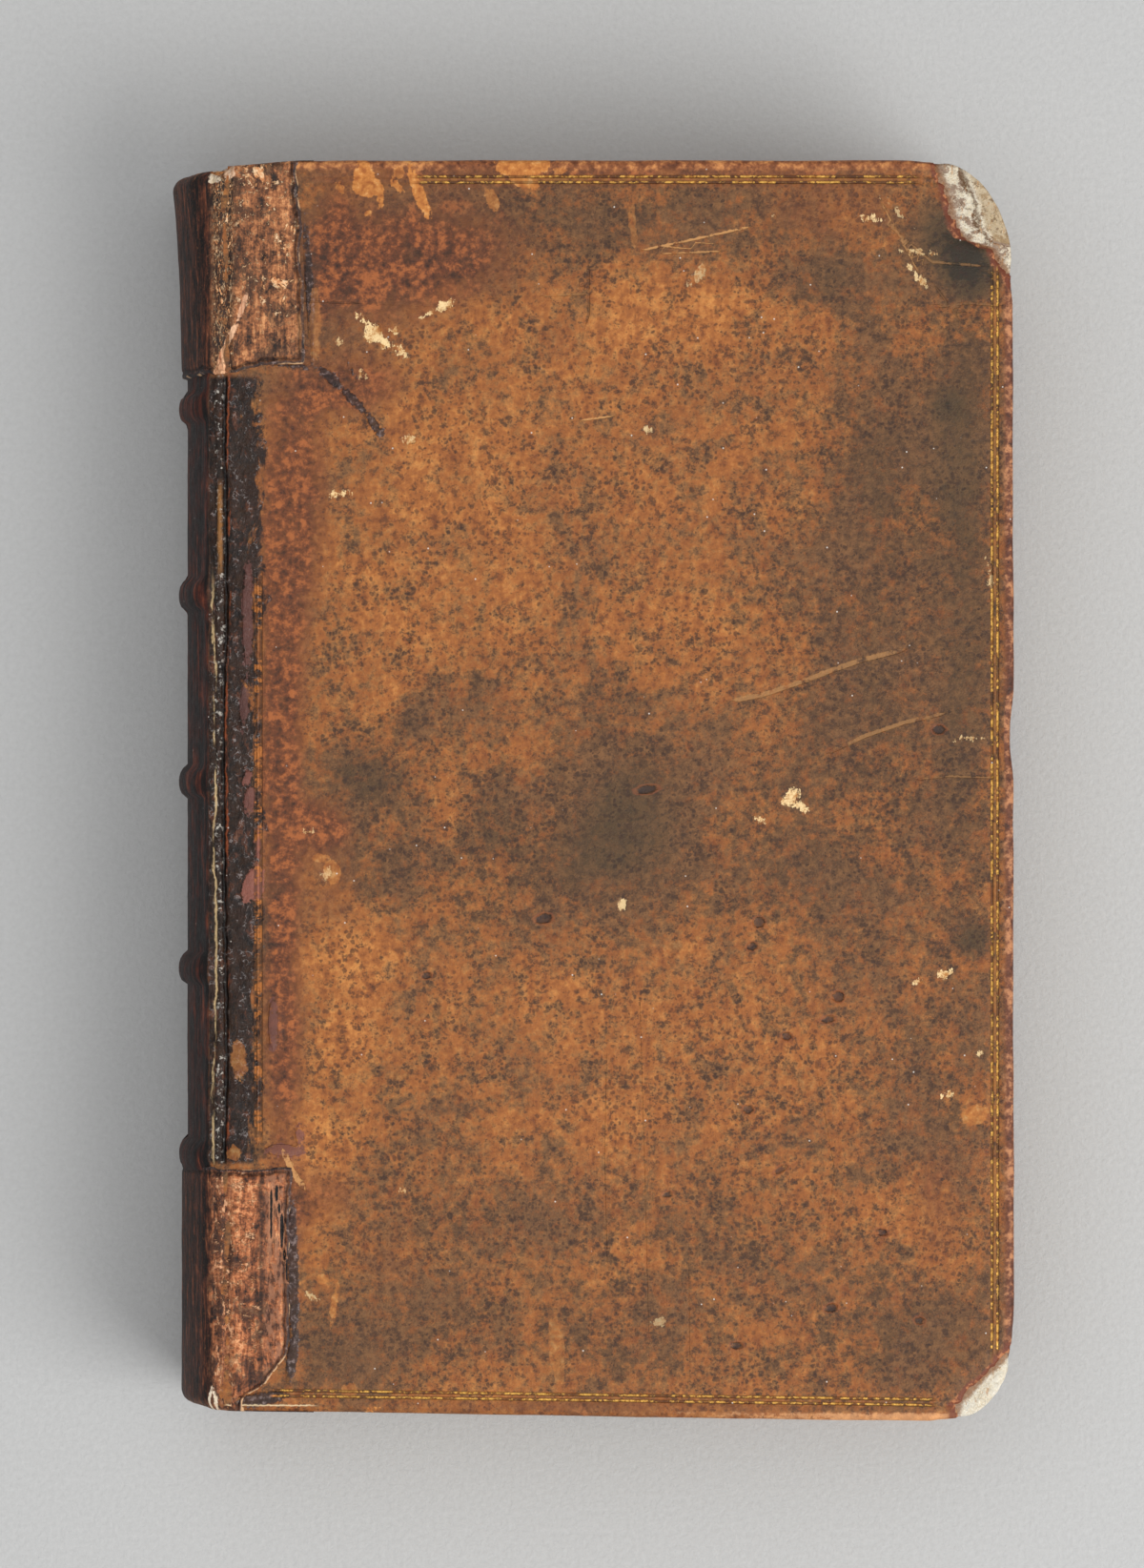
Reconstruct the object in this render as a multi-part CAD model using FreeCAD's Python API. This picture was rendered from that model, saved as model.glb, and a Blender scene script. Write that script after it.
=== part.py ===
import FreeCAD, Part
import math
import os

# An antique octavo book in full calf, lying closed on its rear cover: a laced-on, tight-back
# binding with five raised bands, repaired with new leather at the head and tail of the spine.
# The spine is at -X, the fore edge at +X, the head at +Y and the front cover on top. Shapes are
# drawn from the joint line, where the covers hinge (X = 0), and moved at the end, so that the
# origin lies under the middle of the whole book. All sizes are millimetres.

V = FreeCAD.Vector

# Boards and what is pasted to them
COVER_WIDTH = 125.0           # joint line to fore edge, leather included
COVER_HEIGHT = 200.4          # head to tail at the fore edge, leather included
TAIL_RISE = 1.8               # the tail edge is this much higher at the joint
HEAD_FALL = 0.9               # the head edge falls this much towards the joint
HEAD_FALL_WIDTH = 13.0        # over this width
BOARD_THICKNESS = 2.6
LEATHER_THICKNESS = 0.8
TURN_IN_THICKNESS = 0.4       # the leather is pared thin where it is turned in
TURN_IN_WIDTH = 14.0
EDGE_ROUND = 0.9
PASTEDOWN_THICKNESS = 0.2
PASTEDOWN_MARGIN = 3.5
COVER_CLEARANCE = 0.3         # between a pastedown and the pages

# Fore edge corners of both boards, at head and tail, as (width, height) of their rounding
COVER_CORNERS = ((12.5, 17.5), (10.5, 13.0))
PASTEDOWN_CORNERS = ((7.0, 7.0), (7.0, 7.0))

# Where the leather has worn off the corners: (from the fore edge, from head or tail)
HEAD_CORNER_WEAR = ((12.2, -1.0), (10.6, 5.2), (7.4, 11.6), (3.6, 13.8), (1.0, 20.4))
TAIL_CORNER_WEAR = ((10.6, -1.0), (8.6, 3.2), (7.4, 5.0), (3.6, 8.2), (0.6, 10.6))

# Pages
PAGES_THICKNESS = 25.0
PAGES_HEAD_SQUARE = 4.2       # how far the cover stands past the pages at the head
PAGES_TAIL_SQUARE = 4.6
PAGES_FORE_SQUARE = 3.6
FORE_EDGE_HOLLOW = 4.2

# Spine
JOINT_GAP = 0.3               # the split between spine and cover, at the joint line
SPINE_ROUND = 6.7             # how far the leather stands out past the joint line
SPINE_LEATHER = 0.9
SHOULDER_ROUND = 3.5          # where the leather turns from a cover into the spine
CORD_COUNT = 5
CORD_PITCH = 29.8
CORD_FIRST = 61.2             # the cord nearest the head, from the middle of the book
CORD_RADIUS = 1.6
CORD_HEIGHT = 1.5             # stands out this far from the back of the pages
RIDGE_FADE = 0.3              # a cord, band or flare ends this far below the shoulder
ROUND_FLATS = 12              # cords and endbands are drawn as round with this many flats

# Repair leather over the ends of the spine
PATCH_STEP = 0.9              # stands out past the old leather of the spine
PATCH_PROUD = 0.4             # stands up from the front cover
HEAD_PATCH_TO_CORD = 5.4      # its lower edge, from the middle of the first cord
HEAD_PATCH_REACH = (12.4, 13.8)   # on the cover, at the head and at its lower edge
TAIL_PATCH_TO_CORD = 1.7      # its upper edge, from the middle of the last cord
TAIL_PATCH_REACH = 10.4
TAIL_TEAR = (3.6, 12.4)       # the torn lower corner: what is left, and how high it starts
PATCH_RAGGED = 1.0            # its edges wander by this much

# Caps: the repair leather turned over the endbands
CAP_THICKNESS = 1.0
CAP_LIP = 2.0                 # how far a cap is turned over the endband
CAP_DIP = 0.5                 # the head cap is worn down in its middle
CAP_FLARE = ((0.0, 0.0), (0.45, 0.3), (0.75, 0.9), (1.0, 1.6))   # (share of height, outwards)

# Endbands
ENDBAND_RADIUS = 0.75
ENDBAND_CLEARANCE = 0.15      # to the cap
ENDBAND_SET_BACK = 1.5        # centre line from the back of the pages
ENDBAND_END = 0.5             # stops this far short of the first and the last page

# Laced-in ends of the cords
SLIP_WIDTH = 3.6
SLIP_THICKNESS = 0.7
SLIP_LENGTH = 9.0
SLIP_HOLE_RADIUS = 1.2

# Gilt double fillet round each cover
FILLET_INSET = (2.6, 3.5)
FILLET_JOINT_INSET = (4.6, 5.5)
FILLET_WIDTH = 0.35
FILLET_DEPTH = 0.15           # pressed into the leather
FILLET_GOLD = 0.1
FILLET_END_GAP = 1.6          # from its end to a worn corner or a patch

# Levels and places that follow from the sizes above
INNER_STACK = TURN_IN_THICKNESS + PASTEDOWN_THICKNESS
COVER_OUTER = BOARD_THICKNESS + LEATHER_THICKNESS
REAR_BOARD_INNER = COVER_OUTER
PAGES_LOW = REAR_BOARD_INNER + INNER_STACK + COVER_CLEARANCE
PAGES_HIGH = PAGES_LOW + PAGES_THICKNESS
FRONT_BOARD_INNER = PAGES_HIGH + COVER_CLEARANCE + INNER_STACK
COVER_TOP = FRONT_BOARD_INNER + COVER_OUTER
BOOK_TOP = COVER_TOP + PATCH_PROUD
MIDDLE_Z = COVER_TOP / 2
PATCH_MIDDLE_Z = BOOK_TOP / 2
HEAD = COVER_HEIGHT / 2
TAIL = -COVER_HEIGHT / 2
COVER_START = JOINT_GAP / 2
SPINE_END = -JOINT_GAP / 2
PAGES_HEAD = HEAD - PAGES_HEAD_SQUARE
PAGES_TAIL = TAIL + PAGES_TAIL_SQUARE
PAGES_FORE = COVER_WIDTH - PAGES_FORE_SQUARE
PAGES_ROUND = SPINE_ROUND - SPINE_LEATHER
PAGES_SHOULDER = MIDDLE_Z - SPINE_LEATHER
PAGES_SHOULDER_ROUND = SHOULDER_ROUND - SPINE_LEATHER
CORD_PLACES = [CORD_FIRST - CORD_PITCH * i for i in range(CORD_COUNT)]
HEAD_PATCH_FOOT = CORD_PLACES[0] + HEAD_PATCH_TO_CORD
TAIL_PATCH_TOP = CORD_PLACES[-1] - TAIL_PATCH_TO_CORD
UNDER_CAP = 2 * ENDBAND_RADIUS + ENDBAND_CLEARANCE
HEAD_CAP = PAGES_HEAD + UNDER_CAP + CAP_THICKNESS
TAIL_CAP = PAGES_TAIL - UNDER_CAP - CAP_THICKNESS
ARC_SHARE = 0.5523            # makes a Bezier curve a quarter of an ellipse
FAR = 20.0                    # well past whatever is cut
TINY = 1e-6


def prism(points, low, high):
    """A flat outline of (x, y) points, raised from low to high."""
    corners = [V(x, y, low) for x, y in points]
    return Part.Face(Part.makePolygon(corners + corners[:1])).extrude(V(0, 0, high - low))


def tail_line(x, inset=0.0):
    """The height of the sloping tail edge at x."""
    return TAIL + TAIL_RISE * (1 - x / COVER_WIDTH) + inset


def cover_face(inset, corners, level):
    """A cover's outline at one level, drawn in from its head, fore edge and tail."""
    (head_wide, head_high), (tail_wide, tail_high) = corners
    fore = COVER_WIDTH - inset
    head = HEAD - inset
    tail_x = fore - tail_wide
    head_end = V(fore - head_wide, head, level)
    fore_high = V(fore, head - head_high, level)
    fore_low = V(fore, tail_line(fore, inset) + tail_high, level)
    tail_end = V(tail_x, tail_line(tail_x, inset), level)
    fall_start = V(HEAD_FALL_WIDTH, head, level)
    joint_head = V(COVER_START, head - HEAD_FALL, level)
    joint_tail = V(COVER_START, tail_line(COVER_START, inset), level)
    along_tail = (tail_end - joint_tail).normalize() * (tail_wide * ARC_SHARE)
    head_curve = Part.BezierCurve()
    head_curve.setPoles([
        head_end,
        head_end + V(head_wide * ARC_SHARE, 0, 0),
        fore_high + V(0, head_high * ARC_SHARE, 0),
        fore_high,
    ])
    tail_curve = Part.BezierCurve()
    tail_curve.setPoles([
        fore_low,
        fore_low - V(0, tail_high * ARC_SHARE, 0),
        tail_end + along_tail,
        tail_end,
    ])
    edges = [
        Part.makeLine(joint_head, fall_start),
        Part.makeLine(fall_start, head_end),
        head_curve.toShape(),
        Part.makeLine(fore_high, fore_low),
        tail_curve.toShape(),
        Part.makeLine(tail_end, joint_tail),
        Part.makeLine(joint_tail, joint_head),
    ]
    return Part.Face(Part.Wire(edges))


def slab(inset, corners, low, high):
    """A board, or a sheet of its outline, between two levels."""
    return cover_face(inset, corners, low).extrude(V(0, 0, high - low))


# A cover is drawn with Z outwards from the inner face of its board, and then placed
# on one side of the pages or the other.

def slip(place):
    """The laced-in end of one cord: along a channel in the board, then through a hole."""
    bar = Part.makeBox(SLIP_LENGTH, SLIP_WIDTH, SLIP_THICKNESS,
                       V(COVER_START, place - SLIP_WIDTH / 2, BOARD_THICKNESS - SLIP_THICKNESS))
    centre = COVER_START + SLIP_LENGTH - SLIP_WIDTH / 2
    plug = Part.makeCylinder(SLIP_HOLE_RADIUS, BOARD_THICKNESS, V(centre, place, 0))
    return bar.fuse(plug).removeSplitter()


def board():
    """One pasteboard, with the channels and holes for the laced-in cords."""
    whole = slab(LEATHER_THICKNESS, COVER_CORNERS, 0, BOARD_THICKNESS)
    return whole.cut([slip(place) for place in CORD_PLACES])


def window(inset, low, high):
    """The oblong that the turn-ins leave open on the inner face of a board."""
    fore = COVER_WIDTH - inset
    return prism([
        (COVER_START, HEAD - inset),
        (fore, HEAD - inset),
        (fore, tail_line(fore, inset)),
        (COVER_START, tail_line(COVER_START, inset)),
    ], low, high)


def covering(outer):
    """Leather round a board: its outer face, three edges and the turn-ins."""
    skin = slab(0.0, COVER_CORNERS, -TURN_IN_THICKNESS, outer)
    rims = [
        edge for edge in skin.Edges
        if edge.BoundBox.ZMin > outer - TINY and edge.BoundBox.XMax > COVER_START + TINY
    ]
    skin = skin.makeFillet(EDGE_ROUND, rims)
    skin = skin.cut(slab(LEATHER_THICKNESS, COVER_CORNERS, 0, BOARD_THICKNESS))
    return skin.cut(window(TURN_IN_WIDTH, -TURN_IN_THICKNESS, 0))


def pastedown():
    """The endpaper pasted inside a cover. It dips from the turn-ins to the bare board."""
    sheet = slab(PASTEDOWN_MARGIN, PASTEDOWN_CORNERS, -INNER_STACK, 0)
    turn_ins = slab(0.0, PASTEDOWN_CORNERS, -TURN_IN_THICKNESS, 0)
    turn_ins = turn_ins.cut(window(TURN_IN_WIDTH, -TURN_IN_THICKNESS, 0))
    dip = window(TURN_IN_WIDTH + PASTEDOWN_THICKNESS, -INNER_STACK, -PASTEDOWN_THICKNESS)
    return sheet.cut([turn_ins, dip])


def head_patch_zone():
    """Where the head patch lies on a cover, as a block through everything."""
    at_head, at_foot = HEAD_PATCH_REACH
    return prism([
        (COVER_START, HEAD_PATCH_FOOT),
        (at_foot / 2, HEAD_PATCH_FOOT + PATCH_RAGGED / 2),
        (at_foot, HEAD_PATCH_FOOT + PATCH_RAGGED),
        (at_head, HEAD),
        (at_head, HEAD + FAR),
        (COVER_START, HEAD + FAR),
    ], -FAR, FAR)


def tail_patch_zone():
    """Where the tail patch lies on a cover; its lower corner is torn off."""
    left, tear_height = TAIL_TEAR
    return prism([
        (COVER_START, TAIL_PATCH_TOP),
        (COVER_START, TAIL - FAR),
        (left, TAIL - FAR),
        (left, TAIL),
        (TAIL_PATCH_REACH, TAIL + tear_height),
        (TAIL_PATCH_REACH, TAIL_PATCH_TOP + PATCH_RAGGED / 2),
    ], -FAR, FAR)


def corner_wear(points, edge, inwards):
    """A block over a corner, where the leather has worn away. inwards is -1 at the head."""
    outline = [(COVER_WIDTH - across, edge + inwards * along) for across, along in points]
    last_y = outline[-1][1]
    far_y = edge - inwards * FAR
    outline += [(COVER_WIDTH + FAR, last_y), (COVER_WIDTH + FAR, far_y), (outline[0][0], far_y)]
    return prism(outline, -FAR, FAR)


def gilt_line(start, end, low, high):
    """One straight gilt line between two points."""
    along = V(end[0] - start[0], end[1] - start[1], 0).normalize()
    side = V(-along.y, along.x, 0) * (FILLET_WIDTH / 2)
    return prism([
        (start[0] + side.x, start[1] + side.y),
        (end[0] + side.x, end[1] + side.y),
        (end[0] - side.x, end[1] - side.y),
        (start[0] - side.x, start[1] - side.y),
    ], low, high)


def fillet_lines(low, high):
    """The lines of a cover's double fillet. They stop short of the patches and bare corners."""
    head_from = HEAD_PATCH_REACH[0] + FILLET_END_GAP
    tail_from = TAIL_PATCH_REACH + FILLET_END_GAP
    head_to = COVER_WIDTH - HEAD_CORNER_WEAR[0][0] - FILLET_END_GAP
    tail_to = COVER_WIDTH - TAIL_CORNER_WEAR[0][0] - FILLET_END_GAP
    fore_high = HEAD - HEAD_CORNER_WEAR[-1][1] - FILLET_END_GAP
    fore_low = TAIL + TAIL_CORNER_WEAR[-1][1] + FILLET_END_GAP
    lines = []
    for inset, joint_inset in zip(FILLET_INSET, FILLET_JOINT_INSET):
        fore = COVER_WIDTH - inset
        lines += [
            gilt_line((head_from, HEAD - inset), (head_to, HEAD - inset), low, high),
            gilt_line((fore, fore_low), (fore, fore_high), low, high),
            gilt_line((tail_from, tail_line(tail_from, inset)),
                      (tail_to, tail_line(tail_to, inset)), low, high),
            gilt_line((joint_inset, TAIL_PATCH_TOP + FILLET_END_GAP),
                      (joint_inset, HEAD_PATCH_FOOT - FILLET_END_GAP), low, high),
        ]
    return lines


def cover_pieces(patch_proud):
    """Every piece of one cover, by name, still with Z outwards from its board."""
    gold_foot = COVER_OUTER - FILLET_DEPTH
    cuts = [
        head_patch_zone(),
        tail_patch_zone(),
        corner_wear(HEAD_CORNER_WEAR, HEAD, -1),
        corner_wear(TAIL_CORNER_WEAR, TAIL, 1),
    ]
    cuts += fillet_lines(gold_foot, COVER_OUTER + FAR)
    patch = covering(COVER_OUTER + patch_proud)
    pieces = {
        "SIDE_board": board(),
        "SIDE_leather": covering(COVER_OUTER).cut(cuts),
        "SIDE_pastedown": pastedown(),
        "SIDE_gilt_fillet": Part.makeCompound(fillet_lines(gold_foot, gold_foot + FILLET_GOLD)),
        "head_patch_SIDE": patch.common(head_patch_zone()),
        "tail_patch_SIDE": patch.common(tail_patch_zone()),
    }
    for number, place in enumerate(CORD_PLACES, 1):
        pieces["SIDE_slip_%d" % number] = slip(place)
    return pieces


# The spine is an arch of three arcs in section: a wide one over the back, and a small one
# at each shoulder that ends level with the cover.

def arch_radius(out, half_height, shoulder):
    """The radius of the wide arc of an arch."""
    reach = half_height - shoulder
    return (out ** 2 + reach ** 2 - shoulder ** 2) / (2 * (out - shoulder))


def arch_arcs(out, half_height, shoulder, middle, y):
    """The three arcs of an arch, from its foot over the back to its top."""
    radius = arch_radius(out, half_height, shoulder)
    reach = half_height - shoulder
    lean = math.asin(reach / (radius - shoulder))
    turn = (math.pi / 2 + lean) / 2
    wide_x = SPINE_END - out + radius
    arcs = []
    for side in (-1, 1):
        end = V(SPINE_END, y, middle + side * half_height)
        between = V(SPINE_END - shoulder * math.cos(turn), y,
                    middle + side * (reach + shoulder * math.sin(turn)))
        meet = V(wide_x - radius * math.cos(lean), y, middle + side * radius * math.sin(lean))
        arcs.append((end, between, meet))
    (foot, low_between, low_meet), (top, high_between, high_meet) = arcs
    crown = V(SPINE_END - out, y, middle)
    return [
        Part.Arc(foot, low_between, low_meet).toShape(),
        Part.Arc(low_meet, crown, high_meet).toShape(),
        Part.Arc(high_meet, high_between, top).toShape(),
    ]


def arch_wire(out, half_height, shoulder, middle, y):
    """The closed section of a spine: an arch and the joint line."""
    foot = V(SPINE_END, y, middle - half_height)
    top = V(SPINE_END, y, middle + half_height)
    arcs = arch_arcs(out, half_height, shoulder, middle, y)
    return Part.Wire(arcs + [Part.makeLine(top, foot)])


def arch_block(out, half_height, shoulder, middle, y_low, y_high):
    """A length of spine of one section."""
    face = Part.Face(arch_wire(out, half_height, shoulder, middle, y_low))
    return face.extrude(V(0, y_high - y_low, 0))


def back_of_pages(y_low, y_high):
    """The rounded back alone, which the leather and the cords are moulded over."""
    return arch_block(PAGES_ROUND, PAGES_SHOULDER, PAGES_SHOULDER_ROUND, MIDDLE_Z, y_low, y_high)


def swept(points, out, half_height, shoulder, y):
    """A section of (outwards from the back, along the spine) points, swept over the wide arc."""
    radius = arch_radius(out, half_height, shoulder)
    axis_point = V(SPINE_END - out + radius, y, MIDDLE_Z)
    reach = half_height - shoulder
    sweep = math.degrees(math.asin(reach / (radius - shoulder)))
    corners = [V(SPINE_END - out - outwards, y + along, MIDDLE_Z) for outwards, along in points]
    section = Part.Face(Part.makePolygon(corners + corners[:1]))
    section.rotate(axis_point, V(0, 1, 0), -sweep)
    return section.revolve(axis_point, V(0, 1, 0), 2 * sweep)


def ridge(tube, out, half_height, shoulder, place):
    """A round ridge across the back, as high as a cord and dying away at the shoulders."""
    ring = swept(round_section(tube, CORD_HEIGHT - tube), out, half_height, shoulder, place)
    return ring.common(fading(out, CORD_HEIGHT, half_height, shoulder, place, 2 * tube))


def round_section(radius, outwards):
    """The points of a round section, as a polygon of small flats."""
    step = 2 * math.pi / ROUND_FLATS
    return [
        (outwards + radius * math.cos(step * i), radius * math.sin(step * i))
        for i in range(ROUND_FLATS)
    ]


def fading(out, rise, half_height, shoulder, place, reach):
    """The space that a raised shape on the back may fill, so that it sinks in at the shoulders."""
    return arch_block(out + rise + RIDGE_FADE, half_height - RIDGE_FADE, shoulder + rise,
                      MIDDLE_Z, place - reach, place + reach)


def pages():
    """The sewn pages: a rounded back with shoulders, and a hollow fore edge."""
    y = PAGES_TAIL
    top = V(SPINE_END, y, MIDDLE_Z + PAGES_SHOULDER)
    foot = V(SPINE_END, y, MIDDLE_Z - PAGES_SHOULDER)
    fore_low = V(PAGES_FORE, y, PAGES_LOW)
    fore_high = V(PAGES_FORE, y, PAGES_HIGH)
    hollow = V(PAGES_FORE - FORE_EDGE_HOLLOW, y, (PAGES_LOW + PAGES_HIGH) / 2)
    back_low = V(SPINE_END, y, PAGES_LOW)
    back_high = V(SPINE_END, y, PAGES_HIGH)
    edges = arch_arcs(PAGES_ROUND, PAGES_SHOULDER, PAGES_SHOULDER_ROUND, MIDDLE_Z, y) + [
        Part.makeLine(top, back_high),
        Part.makeLine(back_high, fore_high),
        Part.Arc(fore_high, hollow, fore_low).toShape(),
        Part.makeLine(fore_low, back_low),
        Part.makeLine(back_low, foot),
    ]
    return Part.Face(Part.Wire(edges)).extrude(V(0, PAGES_HEAD - PAGES_TAIL, 0))


def cord(place):
    """One sewing cord, across the back of the pages."""
    solid = ridge(CORD_RADIUS, PAGES_ROUND, PAGES_SHOULDER, PAGES_SHOULDER_ROUND, place)
    return solid.cut(back_of_pages(place - 2 * CORD_RADIUS, place + 2 * CORD_RADIUS))


def spine_leather():
    """The old leather of the spine, moulded over the cords as raised bands."""
    solid = arch_block(SPINE_ROUND, MIDDLE_Z, SHOULDER_ROUND, MIDDLE_Z,
                       TAIL_PATCH_TOP, HEAD_PATCH_FOOT)
    over_cord = CORD_RADIUS + SPINE_LEATHER
    bands = [ridge(over_cord, SPINE_ROUND, MIDDLE_Z, SHOULDER_ROUND, y) for y in CORD_PLACES]
    stretch = Part.makeBox(2 * FAR, HEAD_PATCH_FOOT - TAIL_PATCH_TOP, BOOK_TOP,
                           V(-2 * FAR, TAIL_PATCH_TOP, 0))
    return solid.fuse(bands).common(stretch)


def cap_hollow(pages_end, cap, toward):
    """The space under a cap: full size round the endband, narrower through the lip."""
    inside = cap - toward * CAP_THICKNESS
    under = back_of_pages(*sorted((pages_end, inside)))
    low, high = sorted((inside, cap + toward * FAR))
    through = arch_block(PAGES_ROUND - CAP_LIP, PAGES_SHOULDER - CAP_LIP,
                         PAGES_SHOULDER_ROUND - CAP_LIP, MIDDLE_Z, low, high)
    return under.fuse(through)


def head_patch_spine():
    """The repair leather over the head of the spine, flared and worn at its cap."""
    out = SPINE_ROUND + PATCH_STEP
    shoulder = SHOULDER_ROUND + PATCH_STEP
    height = HEAD_CAP - HEAD_PATCH_FOOT
    solid = arch_block(out, PATCH_MIDDLE_Z, shoulder, PATCH_MIDDLE_Z, HEAD_PATCH_FOOT, HEAD_CAP)
    section = [(flare, height * share) for share, flare in CAP_FLARE]
    section += [(-PATCH_STEP, height), (-PATCH_STEP, 0.0)]
    flare = swept(section, out, PATCH_MIDDLE_Z, shoulder, HEAD_PATCH_FOOT)
    flare = flare.common(fading(out, CAP_FLARE[-1][1], PATCH_MIDDLE_Z, shoulder,
                                HEAD_PATCH_FOOT, 2 * height))
    radius = (PATCH_MIDDLE_Z ** 2 + CAP_DIP ** 2) / (2 * CAP_DIP)
    dip = Part.makeCylinder(radius, 2 * FAR, V(-FAR, HEAD_CAP - CAP_DIP + radius, PATCH_MIDDLE_Z),
                            V(1, 0, 0))
    return solid.fuse(flare).cut([dip, cap_hollow(PAGES_HEAD, HEAD_CAP, 1)])


def tail_patch_spine():
    """The repair leather over the tail of the spine."""
    solid = arch_block(SPINE_ROUND + PATCH_STEP, PATCH_MIDDLE_Z, SHOULDER_ROUND + PATCH_STEP,
                       PATCH_MIDDLE_Z, TAIL_CAP, TAIL_PATCH_TOP)
    return solid.cut(cap_hollow(PAGES_TAIL, TAIL_CAP, -1))


def endband(y):
    """A worked endband: a thin round core that follows the back of the pages."""
    ring = swept(round_section(ENDBAND_RADIUS, -ENDBAND_SET_BACK), PAGES_ROUND, PAGES_SHOULDER,
                 PAGES_SHOULDER_ROUND, y)
    half = PAGES_THICKNESS / 2 - ENDBAND_END
    between = Part.makeBox(2 * FAR, 2 * FAR, 2 * half, V(-FAR, y - FAR, MIDDLE_Z - half))
    return ring.common(between)


def spine_pieces():
    """Every piece of the spine and the pages, by name."""
    cords = [cord(place) for place in CORD_PLACES]
    inside = [back_of_pages(PAGES_TAIL, PAGES_HEAD)] + cords
    pieces = {
        "text_block": pages(),
        "spine_leather": spine_leather().cut(inside),
        "head_patch_spine": head_patch_spine().cut(inside),
        "tail_patch_spine": tail_patch_spine().cut(inside),
        "headband": endband(PAGES_HEAD + ENDBAND_RADIUS),
        "tailband": endband(PAGES_TAIL - ENDBAND_RADIUS),
    }
    for number, solid in enumerate(cords, 1):
        pieces["sewing_cord_%d" % number] = solid
    return pieces


def build():
    """Every piece of the book by name, drawn from the joint line."""
    pieces = spine_pieces()
    front = cover_pieces(PATCH_PROUD)
    for name, shape in front.items():
        pieces[name.replace("SIDE", "front")] = shape.translated(V(0, 0, FRONT_BOARD_INNER))
    rear = cover_pieces(0.0)
    for name, shape in rear.items():
        flipped = shape.mirror(V(0, 0, 0), V(0, 0, 1))
        pieces[name.replace("SIDE", "rear")] = flipped.translated(V(0, 0, REAR_BOARD_INNER))
    return pieces


def export(pieces):
    """Put the origin under the middle of the book, and write every piece."""
    bounds = FreeCAD.BoundBox()
    for shape in pieces.values():
        bounds.add(shape.optimalBoundingBox(False))
    shift = V(-bounds.Center.x, -bounds.Center.y, 0)
    os.makedirs("parts", exist_ok=True)
    for name, shape in sorted(pieces.items()):
        shape.translated(shift).exportStep("parts/" + name + ".step")
    print("size %.3f %.3f %.3f" % (bounds.XLength, bounds.YLength, bounds.ZLength))
    print("joint line at x %.4f, book top at z %.4f" % (shift.x, BOOK_TOP))


export(build())
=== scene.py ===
import math

import bmesh
import bpy
import numpy as np
from mathutils import Matrix, Vector


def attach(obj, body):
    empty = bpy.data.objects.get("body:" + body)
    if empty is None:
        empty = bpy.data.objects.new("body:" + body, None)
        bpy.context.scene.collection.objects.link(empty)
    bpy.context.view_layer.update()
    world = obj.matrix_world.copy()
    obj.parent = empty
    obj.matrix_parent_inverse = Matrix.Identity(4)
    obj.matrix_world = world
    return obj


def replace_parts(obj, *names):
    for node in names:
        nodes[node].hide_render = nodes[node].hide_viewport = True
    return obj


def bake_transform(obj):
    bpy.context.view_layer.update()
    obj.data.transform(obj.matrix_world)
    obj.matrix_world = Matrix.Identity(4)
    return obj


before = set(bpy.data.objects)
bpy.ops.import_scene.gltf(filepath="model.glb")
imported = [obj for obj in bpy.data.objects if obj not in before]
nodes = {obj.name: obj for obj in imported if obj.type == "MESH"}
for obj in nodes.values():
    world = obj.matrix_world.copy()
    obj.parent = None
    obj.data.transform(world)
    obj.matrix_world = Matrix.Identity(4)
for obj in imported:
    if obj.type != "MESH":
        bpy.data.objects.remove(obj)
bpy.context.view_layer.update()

MM = 0.001
JOINT_X = -57.8468                   # the joint line in the frame; x is measured from it below
MIDDLE_Y = -0.075
COVER_TOP = 33.6
SPINE_MIDDLE = COVER_TOP / 2
JOINT_GAP = 0.3
PAGES_LOW = 4.3
PAGES_HIGH = 29.3
PAGES_HEAD = 96.0
PAGES_TAIL = -95.6
PAGES_FORE = 121.4
PAGES_HOLLOW = 4.2
PAGES_OUT = 5.8                      # how far the back stands out past the joint line
PAGES_HALF = 15.9                    # half the height of the back, shoulder to shoulder
PAGES_SHOULDER = 2.6                 # how round a shoulder is
GATHERINGS = 24


def chance(i, j, seed):
    """A settled number from 0 to 1 for each whole-numbered place."""
    i = np.asarray(i, dtype=np.int64)
    j = np.asarray(j, dtype=np.int64)
    n = (i * 374761393 + j * 668265263 + seed * 974711) & 0xFFFFFFFF
    n = ((n ^ (n >> 13)) * 1274126177) & 0xFFFFFFFF
    n = ((n ^ (n >> 15)) * 2246822519) & 0xFFFFFFFF
    return ((n ^ (n >> 16)) & 0xFFFFFF) / 0xFFFFFF


def uneven(x, y, size, seed):
    """Smooth unevenness from -1 to 1, with humps about that many millimetres apart."""
    u = np.asarray(x, dtype=float) / size
    v = np.asarray(y, dtype=float) / size
    i = np.floor(u)
    j = np.floor(v)
    across = u - i
    along = v - j
    across = across * across * (3 - 2 * across)
    along = along * along * (3 - 2 * along)
    low = chance(i, j, seed) * (1 - across) + chance(i + 1, j, seed) * across
    high = chance(i, j + 1, seed) * (1 - across) + chance(i + 1, j + 1, seed) * across
    return 2 * (low * (1 - along) + high * along) - 1


def rough(x, y, size, seed, layers=3):
    """Unevenness with finer and finer humps laid over it."""
    total = 0
    for layer in range(layers):
        total = total + uneven(x, y, size / 2 ** layer, seed + 17 * layer) / 2 ** layer
    return total / 1.6


def ease(low, high, value):
    """From 0 at low to 1 at high, gently at both ends."""
    t = np.clip((value - low) / (high - low), 0, 1)
    return t * t * (3 - 2 * t)


def back_arc(out, half_height, shoulder):
    """The wide arc down the middle of a back: its radius, and the angle from the middle at
    which a round shoulder takes over."""
    reach = half_height - shoulder
    radius = (out ** 2 + reach ** 2 - shoulder ** 2) / (2 * (out - shoulder))
    return radius, math.asin(reach / (radius - shoulder))


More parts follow.
